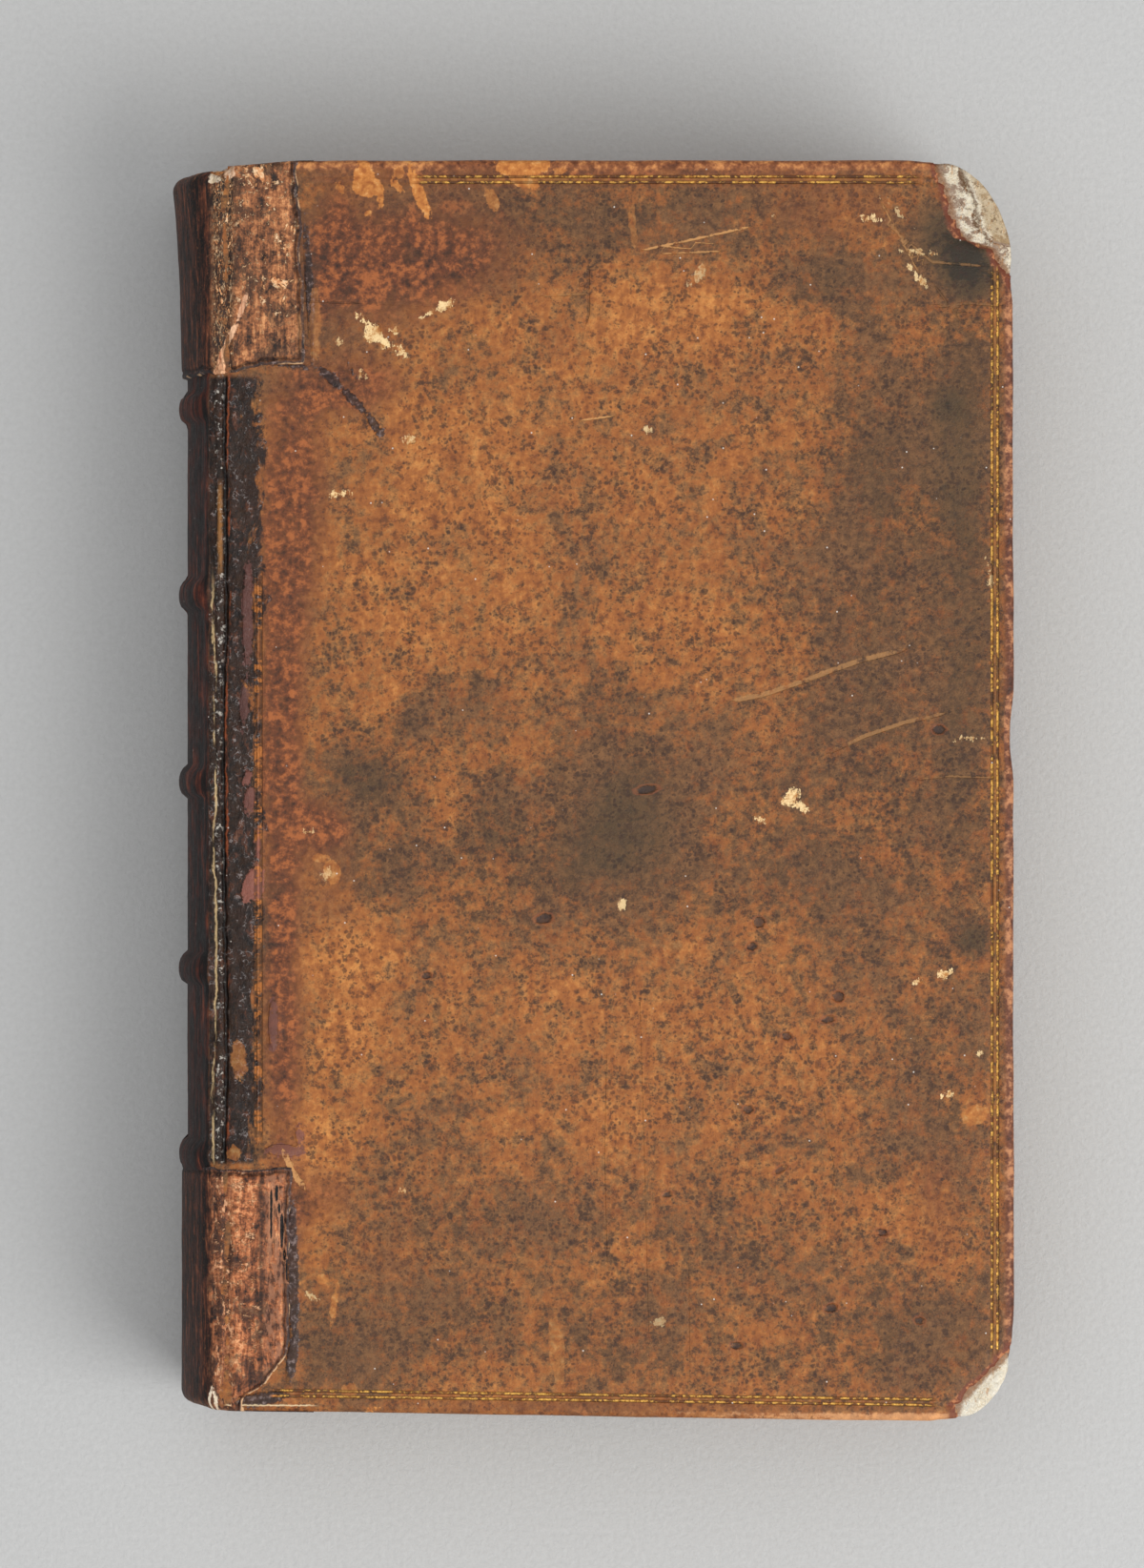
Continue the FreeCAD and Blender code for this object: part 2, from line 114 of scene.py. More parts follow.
def section(s, out, half_height, shoulder, middle):
    """Where the outside of a book lies, seen from its head, and which way it faces there.
    s is flat on the cover where it is above 0, and runs over the shoulder and down the back
    of the spine where it is below."""
    reach = half_height - shoulder
    radius, lean = back_arc(out, half_height, shoulder)
    turned = shoulder * (math.pi / 2 - lean)
    start = JOINT_GAP / 2
    down = -s - start
    on_shoulder = down < turned
    angle = np.where(on_shoulder, math.pi / 2 - down / shoulder, lean - (down - turned) / radius)
    x = np.where(on_shoulder, -start - shoulder * np.cos(angle),
                 -start - out + radius - radius * np.cos(angle))
    z = np.where(on_shoulder, middle + reach + shoulder * np.sin(angle),
                 middle + radius * np.sin(angle))
    flat = down <= 0
    x = np.where(flat, s, x)
    z = np.where(flat, middle + half_height, z)
    facing_x = np.where(flat, 0.0, -np.cos(angle))
    facing_z = np.where(flat, 1.0, np.sin(angle))
    return x, z, facing_x, facing_z


def crown(out, half_height, shoulder):
    """s at the middle of the back."""
    radius, lean = back_arc(out, half_height, shoulder)
    return -(shoulder * (math.pi / 2 - lean) + radius * lean + JOINT_GAP / 2)


def put_points(mesh, x, y, z):
    """Move a mesh's points to x, y, z in millimetres from the joint line and mid-height."""
    points = np.stack([x + JOINT_X, y + MIDDLE_Y, z], axis=1) * MM
    mesh.vertices.foreach_set("co", points.astype(np.float32).ravel())
    mesh.update()


def keep(mesh, name, values):
    """Keep a value for each point, for the material to read."""
    values = np.asarray(values, dtype=np.float32)
    if values.ndim == 2:
        attribute = mesh.attributes.new(name, "FLOAT_VECTOR", "POINT")
        attribute.data.foreach_set("vector", values.ravel())
    else:
        attribute = mesh.attributes.new(name, "FLOAT", "POINT")
        attribute.data.foreach_set("value", values)


def piece(name, mesh, finish):
    """A finished mesh as an object, smooth, with its material."""
    mesh.name = name
    made = bpy.data.objects.new(name, mesh)
    bpy.context.scene.collection.objects.link(made)
    mesh.materials.append(finish)
    mesh.shade_smooth()
    return made


def finish_node(name, finish):
    """Give a node of the frame its material."""
    nodes[name].data.materials.clear()
    nodes[name].data.materials.append(finish)


def colour(red, green, blue):
    """A colour as it looks on a screen, 0 to 255, for a colour socket."""
    parts = [c / 255 for c in (red, green, blue)]
    return tuple(c / 12.92 if c < 0.04045 else ((c + 0.055) / 1.055) ** 2.4 for c in parts) + (1,)


class Value:
    """A number that changes over a surface. Sums with it add the nodes that work them out."""

    def __init__(self, finish, socket):
        self.finish = finish
        self.socket = socket

    def sum_of(self, operation, *numbers):
        return self.finish.add("ShaderNodeMath", {"operation": operation},
                               dict(enumerate(numbers)))

    def __add__(self, other):
        return self.sum_of("ADD", self, other)

    def __radd__(self, other):
        return self.sum_of("ADD", other, self)

    def __sub__(self, other):
        return self.sum_of("SUBTRACT", self, other)

    def __rsub__(self, other):
        return self.sum_of("SUBTRACT", other, self)

    def __mul__(self, other):
        return self.sum_of("MULTIPLY", self, other)

    def __rmul__(self, other):
        return self.sum_of("MULTIPLY", other, self)

    def __abs__(self):
        return self.sum_of("ABSOLUTE", self)

    def most(self, other):
        return self.sum_of("MAXIMUM", self, other)

    def least(self, other):
        return self.sum_of("MINIMUM", self, other)

    def rise(self, low, high):
        """0 where this is under low, 1 where it is over high, and gently between."""
        return self.finish.add("ShaderNodeMapRange", {"interpolation_type": "SMOOTHSTEP"},
                               {"Value": self, "From Min": low, "From Max": high})


class Finish:
    """A material in the making."""

    def __init__(self, name):
        self.material = bpy.data.materials.new(name)
        self.material.use_nodes = True
        self.tree = self.material.node_tree
        self.tree.nodes.clear()

    def add(self, kind, settings=None, sockets=None, out=0):
        """A node, with its settings made first and its sockets filled or linked after."""
        node = self.tree.nodes.new(kind)
        for setting, wanted in (settings or {}).items():
            setattr(node, setting, wanted)
        for socket, wanted in (sockets or {}).items():
            if isinstance(wanted, Value):
                self.tree.links.new(wanted.socket, node.inputs[socket])
            else:
                node.inputs[socket].default_value = wanted
        return Value(self, node.outputs[out]) if node.outputs else node

    def kept(self, name):
        """A value that the mesh keeps for each point."""
        return self.add("ShaderNodeAttribute", {"attribute_name": name}, out="Fac")

    def rest(self):
        """The place of each point with the book closed, in millimetres."""
        return self.add("ShaderNodeAttribute", {"attribute_name": "rest"}, out="Vector")

    def own_place(self):
        """The place of each point in its object, in millimetres."""
        return self.stretched(self.add("ShaderNodeTexCoord", out="Object"), 1000, 1000, 1000)

    def stretched(self, place, x, y, z):
        """A place with each direction scaled, so that a pattern on it comes out drawn long."""
        return self.add("ShaderNodeVectorMath", {"operation": "MULTIPLY"}, {0: place, 1: (x, y, z)})

    def shaken(self, place, size, millimetres):
        """A place pushed about unevenly, so that a pattern on it loses its regular look."""
        push = self.add("ShaderNodeTexNoise", None,
                        {"Vector": place, "Scale": 1 / size, "Detail": 2.0}, "Color")
        return self.add("ShaderNodeVectorMath", {"operation": "MULTIPLY_ADD"},
                        {0: push, 1: (millimetres,) * 3, 2: place})

    def cloud(self, place, size, detail=3.0, roughness=0.55, bend=0.0):
        """Soft uneven patches about that many millimetres across, from 0 to 1."""
        return self.add("ShaderNodeTexNoise", None,
                        {"Vector": place, "Scale": 1 / size, "Detail": detail,
                         "Roughness": roughness, "Distortion": bend}, "Fac")

    def cells(self, place, size):
        """Cells about that many millimetres across: how far from the middle of one."""
        return self.add("ShaderNodeTexVoronoi", None, {"Vector": place, "Scale": 1 / size},
                        "Distance")

    def dots(self, place, size):
        """Cells about that many millimetres across: how far from the middle of one, and a
        number from 0 to 1 that each cell has to itself."""
        far = self.cells(place, size)
        return far, Value(self, far.socket.node.outputs["Color"])

    def blend(self, first, second, share):
        """One colour turning into another."""
        return self.add("ShaderNodeMix", {"data_type": "RGBA"}, {0: share, 6: first, 7: second}, 2)

    def tones(self, value, *stops):
        """A colour for each size of a value: stops are (value, colour)."""
        made = self.add("ShaderNodeValToRGB", None, {"Fac": value}, "Color")
        ramp = made.socket.node.color_ramp
        while len(ramp.elements) < len(stops):
            ramp.elements.new(0.5)
        for element, (place, tint) in zip(ramp.elements, stops):
            element.position = place
            element.color = tint
        return made

    def raised(self, height, millimetres):
        """Small relief that the mesh is too coarse for."""
        return self.add("ShaderNodeBump", None,
                        {"Height": height, "Distance": millimetres * MM, "Strength": 1.0})

    def done(self, colour_value, roughness, normal, metallic=0.0, specular=0.5):
        """The finished material."""
        surface = self.add("ShaderNodeBsdfPrincipled", None,
                           {"Base Color": colour_value, "Roughness": roughness, "Normal": normal,
                            "Metallic": metallic, "Specular IOR Level": specular})
        self.add("ShaderNodeOutputMaterial", None, {"Surface": surface})
        return self.material


def mesh_from(bm, name):
    """A mesh of what was built, with its faces outward."""
    bmesh.ops.recalc_face_normals(bm, faces=bm.faces)
    mesh = bpy.data.meshes.new(name)
    bm.to_mesh(mesh)
    bm.free()
    return mesh


def block_mesh(cuts_x, cuts_y, cuts_z):
    """A unit block, finely divided: its points are shares from 0 to 1 each way."""
    bm = bmesh.new()
    bmesh.ops.create_cube(bm, size=1.0, matrix=Matrix.Translation((0.5, 0.5, 0.5)))
    for axis, cuts in enumerate((cuts_x, cuts_y, cuts_z)):
        along = []
        for edge in bm.edges:
            gap = edge.verts[0].co - edge.verts[1].co
            if abs(gap[axis]) > 0.5:
                along.append(edge)
        bmesh.ops.subdivide_edges(bm, edges=along, cuts=cuts, use_grid_fill=True)
    return mesh_from(bm, "block")


def points_of(mesh):
    """Where a mesh's points are, a row for each."""
    points = np.empty(len(mesh.vertices) * 3, dtype=np.float32)
    mesh.vertices.foreach_get("co", points)
    return points.reshape(-1, 3).astype(float)


pages_mesh = block_mesh(59, 89, 143)
share = points_of(pages_mesh)
u, v, w = share[:, 0], share[:, 1], share[:, 2]
# towards the back the gatherings swell over the edges of the boards
half_thickness = (PAGES_HIGH - PAGES_LOW) / 2
swell = (PAGES_HALF - half_thickness) * (1 - ease(0, 0.06, u))
page_z = SPINE_MIDDLE + (2 * w - 1) * (half_thickness + swell)
from_middle = page_z - SPINE_MIDDLE
back_reach = PAGES_HALF - PAGES_SHOULDER
back_radius = back_arc(PAGES_OUT, PAGES_HALF, PAGES_SHOULDER)[0]
on_wide_arc = back_radius - PAGES_OUT - np.sqrt(np.maximum(back_radius ** 2 - from_middle ** 2, 0))
past_arc = np.maximum(np.abs(from_middle) - back_reach, 0)
rounding = np.sqrt(np.maximum(PAGES_SHOULDER ** 2 - past_arc ** 2, 0))
back_x = np.where(np.abs(from_middle) < back_reach, on_wide_arc, -rounding)
hollow = 1 - (2 * w - 1) ** 2
fore_x = PAGES_FORE - PAGES_HOLLOW * hollow
# each leaf and each gathering lies a little in or out of line
leaf = np.round(w * 144)
gathering = np.floor(w * GATHERINGS)
in_gathering = w * GATHERINGS - gathering
slip = 0.10 * chance(leaf, 0, 3) + 0.28 * chance(gathering, 1, 5)
groove = 0.14 * (1 - ease(0.0, 0.16, np.minimum(in_gathering, 1 - in_gathering)))
page_x = back_x + (fore_x - back_x) * u
page_y = PAGES_TAIL + (PAGES_HEAD - PAGES_TAIL) * v
at_fore = u > 0.999
at_head = v > 0.999
at_tail = v < 0.001
set_in = slip + groove
page_x = page_x - at_fore * (set_in + 0.15 * (1 + uneven(page_y, page_z, 30, 8)))
page_y = page_y - at_head * (set_in + 0.12 * (1 + uneven(page_x, page_z, 22, 9)))
page_y = page_y + at_tail * (set_in + 0.12 * (1 + uneven(page_x, page_z, 22, 10)))
cockle = 0.10 * uneven(page_x, page_y, 26, 11)
page_z = page_z - np.where(w > 0.999, 0.12 + cockle, 0) + np.where(w < 0.001, 0.12 + cockle, 0)
put_points(pages_mesh, page_x, page_y, page_z)
keep(pages_mesh, "rest", np.stack([page_x, page_y, page_z], axis=1))
keep(pages_mesh, "leaf_face", ((w > 0.999) | (w < 0.001)).astype(float))

paper_edges = Finish("aged_paper_edges")
place = paper_edges.rest()
leaves = paper_edges.cloud(paper_edges.stretched(place, 0.03, 0.03, 6.0), 1.0, 4, 0.7)
dust = paper_edges.cloud(place, 18, 5, 0.65)
foxing = paper_edges.cells(place, 9).rise(0.22, 0.05)
on_face = paper_edges.kept("leaf_face")
edge_colour = paper_edges.tones(leaves * 0.7 + dust * 0.3,
                                (0.30, colour(112, 86, 56)), (0.50, colour(176, 146, 104)),
                                (0.72, colour(206, 182, 140)))
face_colour = paper_edges.tones(dust + 0.25 * (paper_edges.cloud(place, 1.2, 4) - 0.5),
                                (0.25, colour(178, 150, 108)), (0.7, colour(222, 203, 166)))
face_colour = paper_edges.blend(face_colour, colour(160, 118, 70), foxing * 0.6)
paper = paper_edges.blend(edge_colour, face_colour, on_face)
relief = leaves * (1 - on_face) + 0.2 * paper_edges.cloud(place, 0.35, 3)
pages = piece("sewn_pages", pages_mesh,
              paper_edges.done(paper, 0.85, paper_edges.raised(relief, 0.12), specular=0.25))
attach(pages, "book_block")
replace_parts(pages, "text_block")


# The sewing cords and their slips. Twisted hemp, five across the back. Each end was frayed out,
# laced through a hole in the board and pasted down, and all of it now lies under the leather.
hemp = Finish("hemp_cord")
place = hemp.own_place()
twist = hemp.add("ShaderNodeTexWave", {"bands_direction": "DIAGONAL"},
                 {"Vector": place, "Scale": 0.9, "Distortion": 2.0, "Detail": 2.0}, "Fac")
fibres = hemp.cloud(hemp.stretched(place, 1, 5, 1), 0.8, 4)
hemp_cord = hemp.done(hemp.tones(twist * 0.5 + fibres * 0.5,
                                 (0.25, colour(96, 72, 44)), (0.75, colour(176, 148, 104))),
                      0.9, hemp.raised(twist + fibres, 0.15), specular=0.2)
for name in nodes:
    if "cord" in name or "slip" in name:
        finish_node(name, hemp_cord)


# The endbands. A thin core at the head and tail of the back, worked over with two threads of
# silk in turn and tied down through the gatherings. Brown with dust, and flattened by the caps.
ENDBAND_ROUND = 0.75
ENDBAND_SET_BACK = 1.5
ENDBAND_HALF = 12.0
THREAD_PITCH = 0.9


def endband(name, node, end_y):
    """The core as a tube swept round the back, with a swelling for each turn of thread."""
    radius = back_arc(PAGES_OUT, PAGES_HALF, PAGES_SHOULDER)[0]
    arc = radius - ENDBAND_SET_BACK
    sweep = math.asin(ENDBAND_HALF / arc)
    axis_x = -JOINT_GAP / 2 - PAGES_OUT + radius
    bm = bmesh.new()
    first = bmesh.ops.create_circle(bm, cap_ends=False, segments=14, radius=ENDBAND_ROUND * MM)
    lay_flat = Matrix.Rotation(math.radians(90), 4, "Z")
    bmesh.ops.transform(bm, matrix=lay_flat, verts=bm.verts)
    start = Vector(((axis_x - arc + JOINT_X) * MM, (end_y + MIDDLE_Y) * MM, SPINE_MIDDLE * MM))
    bmesh.ops.translate(bm, vec=start, verts=bm.verts)
    centre = Vector(((axis_x + JOINT_X) * MM, (end_y + MIDDLE_Y) * MM, SPINE_MIDDLE * MM))
    bmesh.ops.rotate(bm, cent=centre, matrix=Matrix.Rotation(sweep, 3, "Y"), verts=bm.verts)
    bmesh.ops.spin(bm, geom=bm.verts[:] + bm.edges[:], cent=centre, axis=(0, 1, 0),
                   angle=-2 * sweep, steps=220)
    open_ends = [edge for edge in bm.edges if edge.is_boundary]
    bmesh.ops.holes_fill(bm, edges=open_ends)
    mesh = mesh_from(bm, name)
    points = points_of(mesh) / MM
    x = points[:, 0] - JOINT_X
    y = points[:, 1] - MIDDLE_Y
    z = points[:, 2]
    turned = np.arctan2(z - SPINE_MIDDLE, axis_x - x)
    away = np.hypot(axis_x - x, z - SPINE_MIDDLE)
    along = turned * arc
    thread = np.abs(np.sin(math.pi * along / THREAD_PITCH + 0.5 * (away - arc)))
    grow = 0.80 + 0.20 * np.sqrt(thread) + 0.03 * uneven(along, y, 2, 21)
    away = arc + (away - arc) * grow
    y = end_y + (y - end_y) * grow
    put_points(mesh, axis_x - away * np.cos(turned), y, SPINE_MIDDLE + away * np.sin(turned))
    keep(mesh, "along", along)
    keep(mesh, "rest", np.stack([x, y, z], axis=1))
    band = piece(name, mesh, endband_silk)
    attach(band, "book_block")
    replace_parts(band, node)


silk = Finish("endband_silk")
turn = silk.add("ShaderNodeMath", {"operation": "PINGPONG"},
                {0: silk.kept("along") + 40, 1: THREAD_PITCH})
which = (turn * (1 / THREAD_PITCH)).rise(0.45, 0.55)
worn_silk = silk.cloud(silk.rest(), 2.5, 4)
threads = silk.blend(colour(176, 150, 104), colour(96, 62, 44), which)
endband_silk = silk.done(silk.blend(threads, colour(84, 64, 44), worn_silk.rise(0.5, 0.75)), 0.6,
                         silk.raised(silk.cloud(silk.stretched(silk.rest(), 1, 6, 1), 0.6, 3), 0.08))
endband("headband_sewing", "headband", PAGES_HEAD + ENDBAND_ROUND)
endband("tailband_sewing", "tailband", PAGES_TAIL - ENDBAND_ROUND)


# The boards. Pasteboard, made of sheets of waste paper pasted together and beaten, cut to size
# after lacing on. Where the leather has gone from the corners of the front one, the layers have
# swollen and fluffed out into soft grey fibres.
COVER_WIDTH = 125.0
COVER_HEAD = 100.2
COVER_TAIL = -100.2
TAIL_RISE = 1.8
LEATHER = 0.8
BOARD = 2.6
BOARD_EDGE_ROUND = 0.45
HEAD_CORNER = (12.5, 17.5)           # width and height of the rounding at the fore edge
TAIL_CORNER = (10.5, 13.0)
FRONT_BOARD_OUTER = 32.8
TAIL_SLANT_FROM = 70.0               # the rows start to follow the slanting tail edge here


def ruled(start, end, step, fine=()):
    """Places from start to end, a step apart, or closer where fine gives (low, high, step)."""
    places = [start]
    while places[-1] < end:
        here = places[-1] + 1e-6
        size = step
        for low, high, closer in fine:
            if low <= here < high:
                size = closer
        places.append(places[-1] + size)
    places = np.array(places)
    return start + (places - start) * (end - start) / (places[-1] - start)


def sheet(columns, rows, rims, folded, closed_below=False):
    """A grid, with rims drawn out of its edges that a later step folds over. folded says
    whether an edge with its middle at a place across and along the grid has them.
    Gives the mesh, and each point's place across and along it and the number of its rim."""
    bm = bmesh.new()
    bmesh.ops.create_grid(bm, x_segments=len(columns) - 1, y_segments=len(rows) - 1, size=1.0)
    across_layer = bm.verts.layers.float.new("across")
    along_layer = bm.verts.layers.float.new("along")
    rim_layer = bm.verts.layers.float.new("rim")
    for vert in bm.verts:
        vert[across_layer] = columns[round((vert.co.x + 1) / 2 * (len(columns) - 1))]
        vert[along_layer] = rows[round((vert.co.y + 1) / 2 * (len(rows) - 1))]
    border = []
    for edge in bm.edges:
        if not edge.is_boundary:
            continue
        middle_across = sum(vert[across_layer] for vert in edge.verts) / 2
        middle_along = sum(vert[along_layer] for vert in edge.verts) / 2
        if folded(middle_across, middle_along):
            border.append(edge)
    for rim in range(1, rims + 1):
        made = bmesh.ops.extrude_edge_only(bm, edges=border)["geom"]
        new_verts = {item for item in made if isinstance(item, bmesh.types.BMVert)}
        for vert in new_verts:
            vert[rim_layer] = rim
        border = [item for item in made if isinstance(item, bmesh.types.BMEdge)
                  and item.verts[0] in new_verts and item.verts[1] in new_verts]
    if closed_below:
        bmesh.ops.edgeloop_fill(bm, edges=border)
    mesh = mesh_from(bm, "sheet")
    values = []
    for name in ("across", "along", "rim"):
        numbers = np.empty(len(mesh.vertices), dtype=np.float32)
        mesh.attributes[name].data.foreach_get("value", numbers)
        values.append(numbers.astype(float))
        mesh.attributes.remove(mesh.attributes[name])
    return mesh, values[0], values[1], values[2]


def face_out(mesh, upwards):
    """Turn a sheet's faces round if its broad side looks the wrong way."""
    total = sum(face.normal.z * face.area for face in mesh.polygons)
    if (total > 0) != upwards:
        mesh.flip_normals()


def head_droop(x):
    """How much lower the head edge of a cover lies towards the spine."""
    return 0.9 * ease(13.0, -1.0, x)


def cover_plan(x, y, inset):
    """Where a point of a squared sheet comes to lie on a cover with rounded corners, and which
    way is straight out from the edge there."""
    head = COVER_HEAD - inset
    tail = COVER_TAIL + inset
    fore = COVER_WIDTH - inset
    out_x = np.where(x > fore - 0.01, 1.0, 0.0)
    out_y = np.where(y > head - 0.01, 1.0, np.where(y < tail + 0.01, -1.0, 0.0))
    new_x = x.copy()
    new_y = y.copy()
    for side, edge, (width, height) in ((1, head, HEAD_CORNER), (-1, tail, TAIL_CORNER)):
        a = width - inset
        b = height - inset
        across = (x - (fore - a)) / a
        along = side * (y - (edge - side * b)) / b
        in_corner = (across > 0) & (along > 0)
        p = np.clip(across, 0, 1)
        q = np.clip(along, 0, 1)
        round_x = p * np.sqrt(1 - q * q / 2)
        round_y = q * np.sqrt(1 - p * p / 2)
        new_x = np.where(in_corner, fore - a + round_x * a, new_x)
        new_y = np.where(in_corner, edge - side * (b - round_y * b), new_y)
        lean_x = round_x / a
        lean_y = side * round_y / b
        length = np.hypot(lean_x, lean_y) + 1e-9
        out_x = np.where(in_corner, lean_x / length, out_x)
        out_y = np.where(in_corner, lean_y / length, out_y)
    slant = TAIL_RISE * (1 - np.clip(new_x, -3, COVER_WIDTH) / COVER_WIDTH)
    new_y = new_y + slant * ease(-TAIL_SLANT_FROM, COVER_TAIL, new_y)
    new_y = new_y - head_droop(new_x) * ease(TAIL_SLANT_FROM, COVER_HEAD, new_y)
    return new_x, new_y, out_x, out_y


def fold(rim, counts, edge_round, thickness, turn_in, under_round=None):
    """How far out and how far down each rim of a folded edge lies: over a round edge, down the
    side, round again, and back under."""
    if under_round is None:
        under_round = edge_round
    over, down, under, back = counts
    first = np.clip(rim / over, 0, 1) * math.pi / 2
    side = np.clip((rim - over) / down, 0, 1)
    last = np.clip((rim - over - down) / under, 0, 1) * math.pi / 2
    home = np.clip((rim - over - down - under) / back, 0, 1)
    out = edge_round * np.sin(first) - under_round * (1 - np.cos(last)) - turn_in * home
    drop = edge_round * (1 - np.cos(first)) + (thickness - edge_round - under_round) * side
    return out, drop + under_round * np.sin(last)


HEAD_WEAR = ((12.6, -1.0), (12.2, 1.5), (11.2, 3.8), (10.1, 7.2), (9.2, 10.7), (7.8, 12.7),
             (3.5, 13.9), (1.9, 16.8), (0.6, 19.0))
TAIL_WEAR = ((10.0, -1.0), (9.2, 1.0), (8.6, 2.9), (6.9, 4.9), (4.6, 7.4), (1.8, 9.9), (0.4, 11.4))


def worn_corner(x, y):
    """How far inside the bare corners of a cover a point is, in millimetres."""
    from_fore = COVER_WIDTH - x
    inside = np.full(x.shape, -50.0)
    for points, from_end in ((HEAD_WEAR, COVER_HEAD - y), (TAIL_WEAR, y - COVER_TAIL)):
        across = [p[0] for p in points]
        along = [p[1] for p in points]
        limit = np.interp(from_end, along, across, right=-8.0)
        limit = np.where(from_end > along[-1], across[-1] - 0.7 * (from_end - along[-1]), limit)
        inside = np.maximum(inside, 0.8 * (limit - from_fore))
    return inside


BOARD_FOLD = (3, 4, 3, 1)
board_mesh, bx, by, rim = sheet(
    ruled(0.2, COVER_WIDTH - LEATHER - BOARD_EDGE_ROUND, 2.5, ((105.0, 126.0, 0.4),)),
    ruled(COVER_TAIL + LEATHER + BOARD_EDGE_ROUND, COVER_HEAD - LEATHER - BOARD_EDGE_ROUND, 2.5,
          ((-101.0, -84.0, 0.4), (78.0, 101.0, 0.4))),
    sum(BOARD_FOLD), lambda across, along: True, closed_below=True)
inset = LEATHER + BOARD_EDGE_ROUND
px, py, out_x, out_y = cover_plan(bx, by, inset)
out_x = np.where(bx < 0.21, -0.1, out_x)
away, drop = fold(rim, BOARD_FOLD, BOARD_EDGE_ROUND, BOARD, 1.0)
worn = ease(-1.0, 1.5, worn_corner(px, py))
fluff = 0.20 * rough(px, py, 3.0, 31) + 0.12 * uneven(px, py, 0.8, 32)
swollen = worn * (0.28 + fluff) * (rim < 4)
layers = worn * (0.55 + 0.15 * rough(px + 3 * drop, py + 2 * drop, 2.0, 33))
px = px + out_x * (away + layers)
py = py + out_y * (away + layers)
put_points(board_mesh, px, py, FRONT_BOARD_OUTER - drop + swollen)
keep(board_mesh, "rest", np.stack([px, py, FRONT_BOARD_OUTER - drop], axis=1))
keep(board_mesh, "bare", worn_corner(px, py))

pasteboard = Finish("pasteboard")
place = pasteboard.rest()
height_up = pasteboard.add("ShaderNodeSeparateXYZ", None, {0: place}, "Y")
fuzz = pasteboard.cloud(place, 0.5, 6, 0.7, 1.5)
patches = pasteboard.cloud(place, 2.6, 5, 0.65, 0.5)
layer_lines = pasteboard.cloud(pasteboard.stretched(place, 0.1, 0.1, 4.0), 1.0, 3)
board_colour = pasteboard.tones(fuzz * 0.5 + patches * 0.35 + layer_lines * 0.15,
                                (0.34, colour(204, 174, 136)), (0.43, colour(240, 222, 190)),
                                (0.52, colour(252, 242, 220)), (0.66, colour(255, 250, 238)))
# the head corner is the dirtier one, with a brown ridge where a layer has lifted
bare = pasteboard.kept("bare") + 1.6 * (patches - 0.5) + 0.8 * (fuzz - 0.5)
at_head = height_up.rise(70, 80)
dirt = (patches + 0.5 * (fuzz - 0.5)).rise(0.49, 0.58) * at_head
board_colour = pasteboard.blend(board_colour, colour(132, 86, 54), dirt * 0.75)
ridge = abs(bare + 2.2 * (patches - 0.5) - 3.0).rise(0.5, 0.1) * at_head * fuzz.rise(0.36, 0.5)
board_colour = pasteboard.blend(board_colour, colour(104, 74, 44), ridge * 0.8)
board_colour = pasteboard.blend(board_colour, colour(192, 160, 112), bare.rise(3.4, 4.2) * at_head * 0.6)
board_colour = pasteboard.blend(board_colour, colour(150, 98, 60), bare.rise(1.0, 0.1) * 0.8)
specks = pasteboard.cloud(place, 0.9, 6, 0.8).rise(0.54, 0.60)
board_colour = pasteboard.blend(board_colour, colour(112, 78, 50), specks * (0.15 + 0.5 * at_head))
fibres = pasteboard.cloud(pasteboard.stretched(place, 1.6, 0.4, 1.0), 0.8, 4, 0.7)
board_colour = pasteboard.blend(board_colour, colour(206, 148, 92), fibres.rise(0.58, 0.64) * 0.6)
bare_board = pasteboard.done(board_colour, 0.95,
                             pasteboard.raised(fuzz + layer_lines, 0.5), specular=0.15)
front_board = piece("front_pasteboard", board_mesh, bare_board)
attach(front_board, "front_cover")
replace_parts(front_board, "front_board")

plain_board = Finish("pasteboard_plain")
place = plain_board.own_place()
plain_tone = plain_board.tones(plain_board.cloud(place, 1.5, 5), (0.3, colour(150, 128, 98)),
                               (0.7, colour(206, 188, 156)))
plain_relief = plain_board.raised(plain_board.cloud(place, 0.5, 4), 0.2)
finish_node("rear_board", plain_board.done(plain_tone, 0.95, plain_relief, specular=0.15))


# The old calf. One skin of sprinkled brown calf, pared at its edges and pasted over the back and
# both boards, moulded over the cords and turned in. It is cracked along the joints, rubbed on
# the face, stained by hands, and tooled with two thin gilt lines round each cover.
CALF_OUT = 6.7
CALF_HALF = 16.8
CALF_SHOULDER = 3.5
CORDS = (61.2, 31.4, 1.6, -28.2, -58.0)
BAND_HALF = 2.5
BAND_HEIGHT = 1.4
CALF_EDGE_ROUND = 0.9
COVER_THICKNESS = 3.8                # of the board between the two faces of leather
CALF_TURN_IN = 12.0
CALF_FOLD = (4, 4, 3, 5)
FILLET_INSETS = (2.6, 3.5)
FILLET_JOINT_INSETS = (4.6, 5.5)
FILLET_HALF = 0.2
HEAD_PATCH_FOOT = 66.6
TAIL_PATCH_TOP = -59.7
CALF_CROWN = crown(CALF_OUT, CALF_HALF, CALF_SHOULDER)

